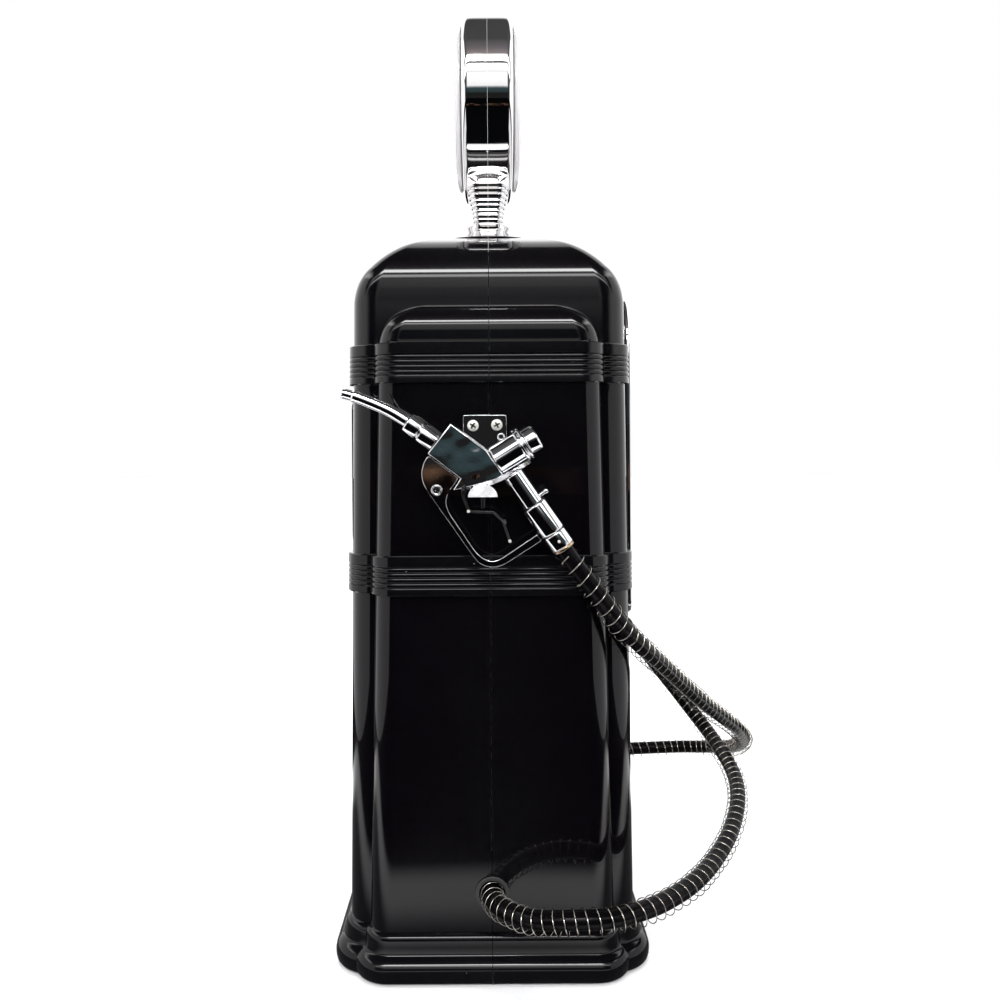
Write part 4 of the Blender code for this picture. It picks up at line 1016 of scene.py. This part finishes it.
# %% Front frame and plates
frame_shape = pad_outline(52.0, 171.0, 346.0, 38.0, 8.0, 20)
opening_shape = pad_outline(43.0, 180.0, 337.0, 29.0, 4.0, 20)
frame_piece = settle("front_bezel", prism(frame_shape, PAD_Y + GAP, PAD_Y + 3.0, front_place))
opening = settle("bezel_opening", prism(opening_shape, PAD_Y - 5, PAD_Y + 9, front_place))
carve(frame_piece, "DIFFERENCE", [opening])
discard(opening)
round_edges(frame_piece, 1.0, 4)
mount(frame_piece, "chrome", "case", "front_frame", slot="chrome")
for name, node_name, half, low, high, thick, place in (
        ("front_lower_panel", "lower_plate", 45.0, 80.0, 143.0, 2.6, front_place),
        ("rear_cover", "rear_plate", 40.0, 208.0, 284.0, 3.6, rear_place)):
    from_y = body_size(low)[1] + GAP
    plate = settle(name, prism(pad_outline(half, low, high, 5.0, 5.0, 8), from_y, from_y + thick, place))
    round_edges(plate, 0.7, 3)
    mount(plate, "black_gloss", "case", node_name, slot="black_gloss")


# %% Screws
def cross_outline(reach, half):
    return [(reach, -half), (reach, half), (half, half), (half, reach), (-half, reach), (-half, half),
            (-reach, half), (-reach, -half), (-half, -half), (-half, -reach), (half, -reach), (half, -half)]


def screw(name, origin, axis, radius, height, paint, body, solid, turn=20.0, flat=False):
    """A pan-head screw with a cross recess painted dark as shade; its head stands on origin."""
    profile = [(0.01, 0.0), (radius, 0.0), (radius, 0.35 * height), (radius * 0.93, 0.62 * height),
               (radius * 0.76, 0.85 * height), (radius * 0.5, 0.97 * height), (0.01, height)]
    if flat:
        profile[2:] = [(radius, 0.7 * height), (radius * 0.9, height), (radius * 0.74, height),
                       (radius * 0.68, 0.75 * height), (0.01, 0.75 * height)]
    made = settle(name, lathe(profile, origin, axis, 48, soften=0.12))
    repaint(made, paint)
    side = axis.orthogonal().normalized()
    other = axis.cross(side)
    angle = math.radians(turn)

    def place(along, a, b):
        return origin + (axis * along + (side * math.cos(angle) + other * math.sin(angle)) * a
                         + (other * math.cos(angle) - side * math.sin(angle)) * b) * MM

    # The cross recess is cut with the dark finish kept on its faces: a painted shade inside the recess.
    recess = settle(name + "_recess", prism(cross_outline(0.58 * radius, 0.15 * radius), 0.3 * height,
                                            height + 1.0, place))
    repaint(recess, "dark_steel")
    carve(made, "DIFFERENCE", [recess], keep_paint=True)
    discard(recess)
    # These indices keep the painted recess shade on the recess faces.
    recess_shade_indices = [face.material_index for face in made.data.polygons]
    mount(made, paint, body, solid, slot="chrome")
    repaint(made, paint, "dark_steel")
    made.data.polygons.foreach_set("material_index", recess_shade_indices)
    round_edges(made, 0.06, 2)


REAR_SCREW_Z = 317.0
screw("rear_cover_screw", v(0, body_size(REAR_SCREW_Z)[1] + GAP, REAR_SCREW_Z), Vector((0, 1, 0)), 4.2, 3.1,
      "bright_steel", "case", "rear_screw")
print("front and back trim done")

# %% [markdown]
# Each nozzle hangs by a socket on a peg of a small plated plate, held by two screws. Seen from the side
# it is drawn almost flat: a block on the spout's line, a bonnet across it, a grip tube down
# to the hose and a thin loop that guards the hand. All are outlines or lathes on these three
# lines, with their edges softened for crisp highlights.

# %% Nozzle lines
SPOUT_START = (-38.9, 271.9)
SPOUT_DIR = (0.7925, -0.6099)
BONNET_START = (2.7, 252.3)
BONNET_DIR = (0.856, 0.517)
TRIGGER_PIVOT = (-12.2, 241.5)
STEM_U = -3.3
PEG = (-5.0, 256.0)
BOSS_Z = 236.4


def nozzle_place(side):
    def place(x, u, z):
        return v(side * (NOZZLE_X + x), -u, z)
    return place



def along_line(side, start, line):
    return nozzle_place(side)(0, *start), Vector((0, -line[0], line[1]))


def plated_round(name, word, solid, profile, line, segments, soften):
    """A plated round piece on one of the nozzle's lines, with the solid that it stands for."""
    made = settle(f"{name}_{word}", lathe(profile, *line, segments, soften=soften))
    return mount(made, "chrome", "nozzle_" + word, f"{solid}_{word}", slot="chrome")


def small_dot(name, side, body, profile, u, z):
    made = settle(name, lathe(profile, nozzle_place(side)(0, u, z), Vector((side, 0, 0)), 24))
    mount(made, "bright_steel", body)


# %% Hook plate and its screws
def hook_plate(side, word):
    base = PANEL_HALF_WIDTH + GAP
    out = Vector((side, 0, 0))

    def place(x, u, z):
        return v(side * x, -u, z)

    outline = rounded_corners([(-12.8, 248.0), (8.4, 248.0), (8.4, 275.2), (-12.8, 275.2)], 1.3, 4, closed=True)
    made = settle("hook_plate_" + word, prism(outline, base, base + 1.5, place))
    peg_profile = [(0.01, base + 0.7), (2.5, base + 0.7), (2.5, 99.2), (2.1, 99.8), (0.01, 99.8)]
    peg = settle("peg", lathe(peg_profile, place(0, *PEG), out, 40, soften=0.25))
    pip_profile = [(0.01, base + 0.7), (1.7, base + 0.7), (1.7, base + 1.8), (1.55, base + 2.0),
                   (1.35, base + 2.0), (1.2, base + 1.7), (0.01, base + 1.7)]
    pip = settle("pip", lathe(pip_profile, place(0, 5.6, 264.4), out, 40, soften=0.1))
    carve(made, "UNION", [peg, pip])
    discard(peg, pip)
    round_edges(made, 0.28, 3)
    mount(made, "chrome", "case", "bracket_" + word, slot="chrome")
    for end, u, z, turn in (("rear", -8.0, 270.0, 12.0), ("front", 3.6, 270.3, -18.0)):
        screw(f"hook_screw_{end}_{word}", place(base + 1.8, u, z), out, 2.75, 1.5, "bright_steel", "case",
              f"bracket_screw_{end}_{word}", turn=turn)


# %% Valve body
def soft_block(outline, half, depth, place):
    """An outline with thickness whose rim is rolled over; each point says how wide its roll is."""
    flat = [Vector(p[:2]) for p in outline]
    count = len(flat)
    turned = sum(flat[i].x * flat[(i + 1) % count].y - flat[(i + 1) % count].x * flat[i].y for i in range(count))
    inward = []
    for i in range(count):
        sides = [(flat[i] - flat[i - 1]).normalized(), (flat[(i + 1) % count] - flat[i]).normalized()]
        first, second = (Vector((-d.y, d.x)) * (1.0 if turned > 0 else -1.0) for d in sides)
        inward.append((first + second) / max(0.25, 1.0 + first.dot(second)))
    rings = []
    for sign in (-1, 1):
        steps = [math.radians(15.0 * k) for k in range(7)]
        for a in (steps[::-1] if sign < 0 else steps):
            x = sign * (half - depth + depth * math.sin(a))
            rings.append([place(x, u + iu * roll * (1 - math.cos(a)), z + iz * roll * (1 - math.cos(a)))
                          for (u, z, roll), (iu, iz) in zip(outline, inward)])
    return loft(rings)


# The belly of the valve carries on as a thin lip under the bonnet, up to its flange.
BODY_ROLL = 0.7
BODY_OUTLINE = [(u, z, BODY_ROLL) for u, z in (
    (-18.2, 271.0), (-29.2, 256.8), (-13.9, 245.0), (-17.4, 239.4), (-13.0, 240.2), (-8.2, 241.3),
    (-3.3, 242.6), (1.5, 244.0), (4.8, 245.3), (6.6, 246.6), (-1.5, 258.6))]
BELLY = [(-17.6, 239.3, 0.5), (-15.0, 239.2, 0.9), (-11.6, 239.8, 1.3), (-7.8, 240.6, 1.7), (-3.3, 241.8, 2.0),
         (1.2, 243.2, 2.1), (5.4, 245.0, 2.1), (9.6, 247.3, 2.0), (14.0, 250.0, 1.9), (18.9, 253.0, 1.8)]


def belly_strip(sign, place):
    """The slanted underside that runs from the guard's corner to the bonnet's flange."""
    route, _ = smooth_path(BELLY, 1.2)
    rings = []
    for i, here in enumerate(route):
        ahead, behind = route[min(len(route) - 1, i + 1)], route[max(0, i - 1)]
        line = Vector((ahead.x - behind.x, ahead.y - behind.y)).normalized()
        up = Vector((-line.y, line.x)) * here.z * 0.5
        high, low = (here.x + up.x, here.y + up.y), (here.x - up.x, here.y - up.y)
        rings.append([place(sign * 6.15, *high), place(sign * 4.3, *low),
                      place(sign * 3.4, *low), place(sign * 3.4, *high)])
    return loft(rings)


def valve_body(side, word):
    place = nozzle_place(side)
    out = Vector((side, 0, 0))

    def leaning(x, u, z):
        return place(x * (1.0 - 0.0055 * (z - 256.0)), u, z)

    def sloping(x, u, z):
        return place(6.7 - 0.27 * (z - BOSS_Z) if x > 0 else x, u, z)

    made = settle("valve_body_" + word, soft_block(BODY_OUTLINE, 5.8, 1.5, leaning), 40.0)
    boss_outline = [(STEM_U + 6.9 * math.cos(math.radians(a)), BOSS_Z + 5.8 * math.sin(math.radians(a)))
                    for a in range(0, 181, 6)]
    boss = settle("stem_boss", prism(boss_outline, -6.4, 6.4, sloping))
    belly = [settle("belly_strip", belly_strip(sign, place)) for sign in (-1, 1)]
    tools = [settle("trigger_slot", prism([(-15.6, 232.0), (-10.6, 232.0), (-9.2, 244.0), (-14.6, 244.0)],
                                          -2.9, 2.9, place)),
             settle("pin_hole", lathe([(1.3, -8.0), (1.3, 8.0)], place(0, *TRIGGER_PIVOT), Vector((1, 0, 0)), 32)),
             settle("peg_socket", lathe([(2.85, -9.0), (2.85, -0.6)], place(0, *PEG), out, 40)),
             settle("stem_hole", lathe([(1.5, 225.0), (1.5, 243.6)], place(0, STEM_U, 0), UP, 32))]
    carve(made, "UNION", [boss] + belly, 40.0)
    carve(made, "DIFFERENCE", tools, 40.0)
    discard(boss, *belly, *tools)
    even_shading(made)
    mount(made, "cast_chrome", "nozzle_" + word, "nozzle_body_" + word, slot="chrome")


# %% Spout and its collar
SPOUT_STEP = 0.7


def spout(side, word):
    place = nozzle_place(side)
    route = [(-39.0, 272.1), (-46.8, 276.8), (-55.0, 280.6), (-62.6, 283.6), (-65.6, 284.5), (-69.7, 285.6)]
    path, _ = smooth_path([place(0, u, z) for u, z in route], SPOUT_STEP * MM)
    count = len(path)
    radii = []
    for i in range(count):
        left = (count - 1 - i) * SPOUT_STEP
        radii.append((2.95 if left > 5.4 else 2.45 if left > 0.5 else 2.25) * MM)
    rings = sweep(path, radii, 48)
    bore = sweep(path[-8:], [1.6 * MM] * 8, 48)
    made = settle("spout_tube_" + word, loft(rings + bore[::-1]), 40.0)
    round_edges(made, 0.15, 2)
    mount(made, "chrome", "nozzle_" + word, "nozzle_spout_" + word, slot="chrome")
    plated_round("spout_collar", word, "nozzle_collar", [
        (0.01, GAP), (4.5, GAP), (4.85, GAP + 0.4), (4.85, 7.0), (4.0, 7.3), (4.0, 8.2), (4.85, 8.5),
        (4.85, 16.6), (0.01, 16.6)], along_line(side, SPOUT_START, SPOUT_DIR), 64, 0.22)


# %% Bonnet and cap
def bonnet(side, word):
    line = along_line(side, BONNET_START, BONNET_DIR)
    plated_round("valve_bonnet", word, "nozzle_bonnet", [
        (0.01, GAP), (6.9, GAP), (7.2, GAP + 0.5), (7.2, 13.8), (8.8, 13.95), (8.8, 15.0), (7.8, 15.15),
        (7.8, 15.85), (8.8, 16.0), (8.8, 16.9), (0.01, 16.9)], line, 80, 0.2)
    plated_round("valve_cap", word, "nozzle_cap", [
        (0.01, 17.2), (6.2, 17.2), (6.55, 17.6), (6.55, 22.4), (6.0, 23.2), (4.2, 23.2), (3.9, 22.7),
        (0.01, 22.7)], line, 80, 0.25)


# %% Grip tube, sleeve and ferrule
def grip(side, word):
    line = along_line(side, HANDLE_START, HANDLE_DIR)
    made = settle("grip_tube_" + word, lathe([(0.01, 1.3), (4.6, 1.3), (5.1, 1.8), (5.1, 18.7), (0.01, 18.7)],
                                             *line, 64, soften=0.25))
    peg_line = along_line(side, nozzle_point(HANDLE_START, HANDLE_DIR, 16.9), (-HANDLE_DIR[1], HANDLE_DIR[0]))
    peg = settle("grip_peg", lathe([(0.01, 3.0), (0.95, 3.0), (0.95, 7.3), (1.35, 7.6), (1.35, 8.9), (1.0, 9.2),
                                    (0.01, 9.2)], *peg_line, 32, soften=0.15))
    carve(made, "UNION", [peg])
    discard(peg)
    even_shading(made)
    mount(made, "chrome", "nozzle_" + word, "nozzle_handle_" + word, slot="chrome")
    plated_round("grip_sleeve", word, "nozzle_swivel", [
        (0.01, 19.0), (5.7, 19.0), (6.25, 19.6), (6.25, 34.4), (5.8, 35.0), (0.01, 35.0)], line, 72, 0.3)
    plated_round("hose_ferrule", word, "nozzle_ferrule", [
        (0.01, 35.3), (5.6, 35.3), (5.95, 35.7), (5.95, 42.8), (5.5, 43.15), (0.01, 43.15)], line, 72, 0.25)
    ring = [(4.6, 43.2), (5.35, 43.2), (5.6, 43.45), (5.6, 44.3), (5.35, 44.5), (4.6, 44.5)]
    made = settle("ferrule_ring_" + word, lathe(ring, *line, 64, closed=True, soften=0.15))
    mount(made, "brass", "nozzle_" + word)
    small_dot("ferrule_pin_" + word, side, "nozzle_" + word,
              [(0.01, 5.5), (0.7, 5.5), (0.7, 6.2), (0.4, 6.5), (0.01, 6.55)],
              *nozzle_point(HANDLE_START, HANDLE_DIR, 39.4))


# %% Hand guard
def hand_guard(side, word):
    place = nozzle_place(side)
    foot_high = nozzle_point(HANDLE_START, HANDLE_DIR, 31.2, -6.6)
    foot_low = nozzle_point(HANDLE_START, HANDLE_DIR, 34.8, -6.6)
    outer_end, inner_start = (6.6, 204.2), (6.1, 207.8)
    outer = [(-28.9, 256.1), (-31.0, 252.5), (-32.3, 247.9), (-31.5, 242.8), (-28.9, 238.2), (-7.4, 207.4),
             (-5.0, 204.8), (-1.4, 203.2), (2.6, 203.0), outer_end]
    inner = [inner_start, (3.1, 206.2), (-0.4, 206.0), (-4.4, 208.0), (-7.2, 210.9), (-19.4, 229.1),
             (-20.7, 233.5), (-20.1, 236.9), (-18.6, 239.8), (-15.9, 243.3), (-14.7, 245.2)]
    before_foot = tuple(Vector(foot_low).lerp(Vector(outer_end), 0.05))
    after_foot = tuple(Vector(foot_high).lerp(Vector(inner_start), 0.05))
    outline = outer + [before_foot, foot_low, foot_high, after_foot] + inner
    outline = rounded_corners(outline, 2.0, 5, closed=True)
    made = settle("hand_guard_loop_" + word, prism(outline, -2.8, 2.8, place))
    round_edges(made, 0.85, 4)
    mount(made, "chrome", "nozzle_" + word, "nozzle_guard_" + word, slot="chrome")
    screw("guard_fixing_" + word, place(3.1, -25.0, 239.6), Vector((side, 0, 0)), 2.6, 1.2, "chrome",
          "nozzle_" + word, "guard_screw_" + word, turn=28.0, flat=True)


# %% Squeeze lever and push stem
def lever(side, word):
    place = nozzle_place(side)
    pivot_u, pivot_z = TRIGGER_PIVOT
    eye = []
    for k in range(25):
        a = math.radians(-62.0 + 286.0 * k / 24)
        eye.append((pivot_u + 2.1 * math.cos(a), pivot_z + 2.1 * math.sin(a)))
    back = [(-13.0, 235.6), (-10.8, 230.0), (-9.5, 228.7), (1.3, 228.3), (5.5, 224.6), (9.0, 214.4)]
    front = [(10.1, 214.8), (7.2, 223.2), (7.9, 223.9), (7.5, 225.3), (6.5, 225.2), (1.8, 229.4), (-9.0, 229.8),
             (-11.7, 236.0)]
    made = settle("squeeze_lever_" + word, prism(eye + rounded_corners(back + front, 0.6, 3), -2.5, 2.5, place))
    hole = settle("lever_hole", lathe([(1.06, -8.0), (1.06, 8.0)], place(0, *TRIGGER_PIVOT),
                                      Vector((1, 0, 0)), 32))
    carve(made, "DIFFERENCE", [hole])
    discard(hole)
    round_edges(made, 0.22, 2)
    mount(made, "dark_steel", "trigger_" + word, "nozzle_trigger_" + word, slot="dark_steel")
    rivet = [(0.01, 2.3), (0.75, 2.3), (0.75, 2.8), (0.45, 3.1), (0.01, 3.15)]
    small_dot("lever_rivet_elbow_" + word, side, "trigger_" + word, rivet, -10.1, 229.5)
    small_dot("lever_rivet_tip_" + word, side, "trigger_" + word, rivet, 9.3, 215.4)
    stem_profile = [(0.01, 230.3), (0.8, 230.3), (1.2, 230.8), (1.2, 241.0), (0.01, 241.0)]
    stem = settle("push_stem_" + word, lathe(stem_profile, place(0, STEM_U, 0), UP, 32, soften=0.2))
    mount(stem, "dark_steel", "stem_" + word, "valve_stem_" + word, slot="dark_steel")
    repaint(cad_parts["trigger_pin_" + word], "dark_steel")


# %% Both nozzles
for side, word in ((-1, "left"), (1, "right")):
    hook_plate(side, word)
    valve_body(side, word)
    spout(side, word)
    bonnet(side, word)
    grip(side, word)
    hand_guard(side, word)
    lever(side, word)
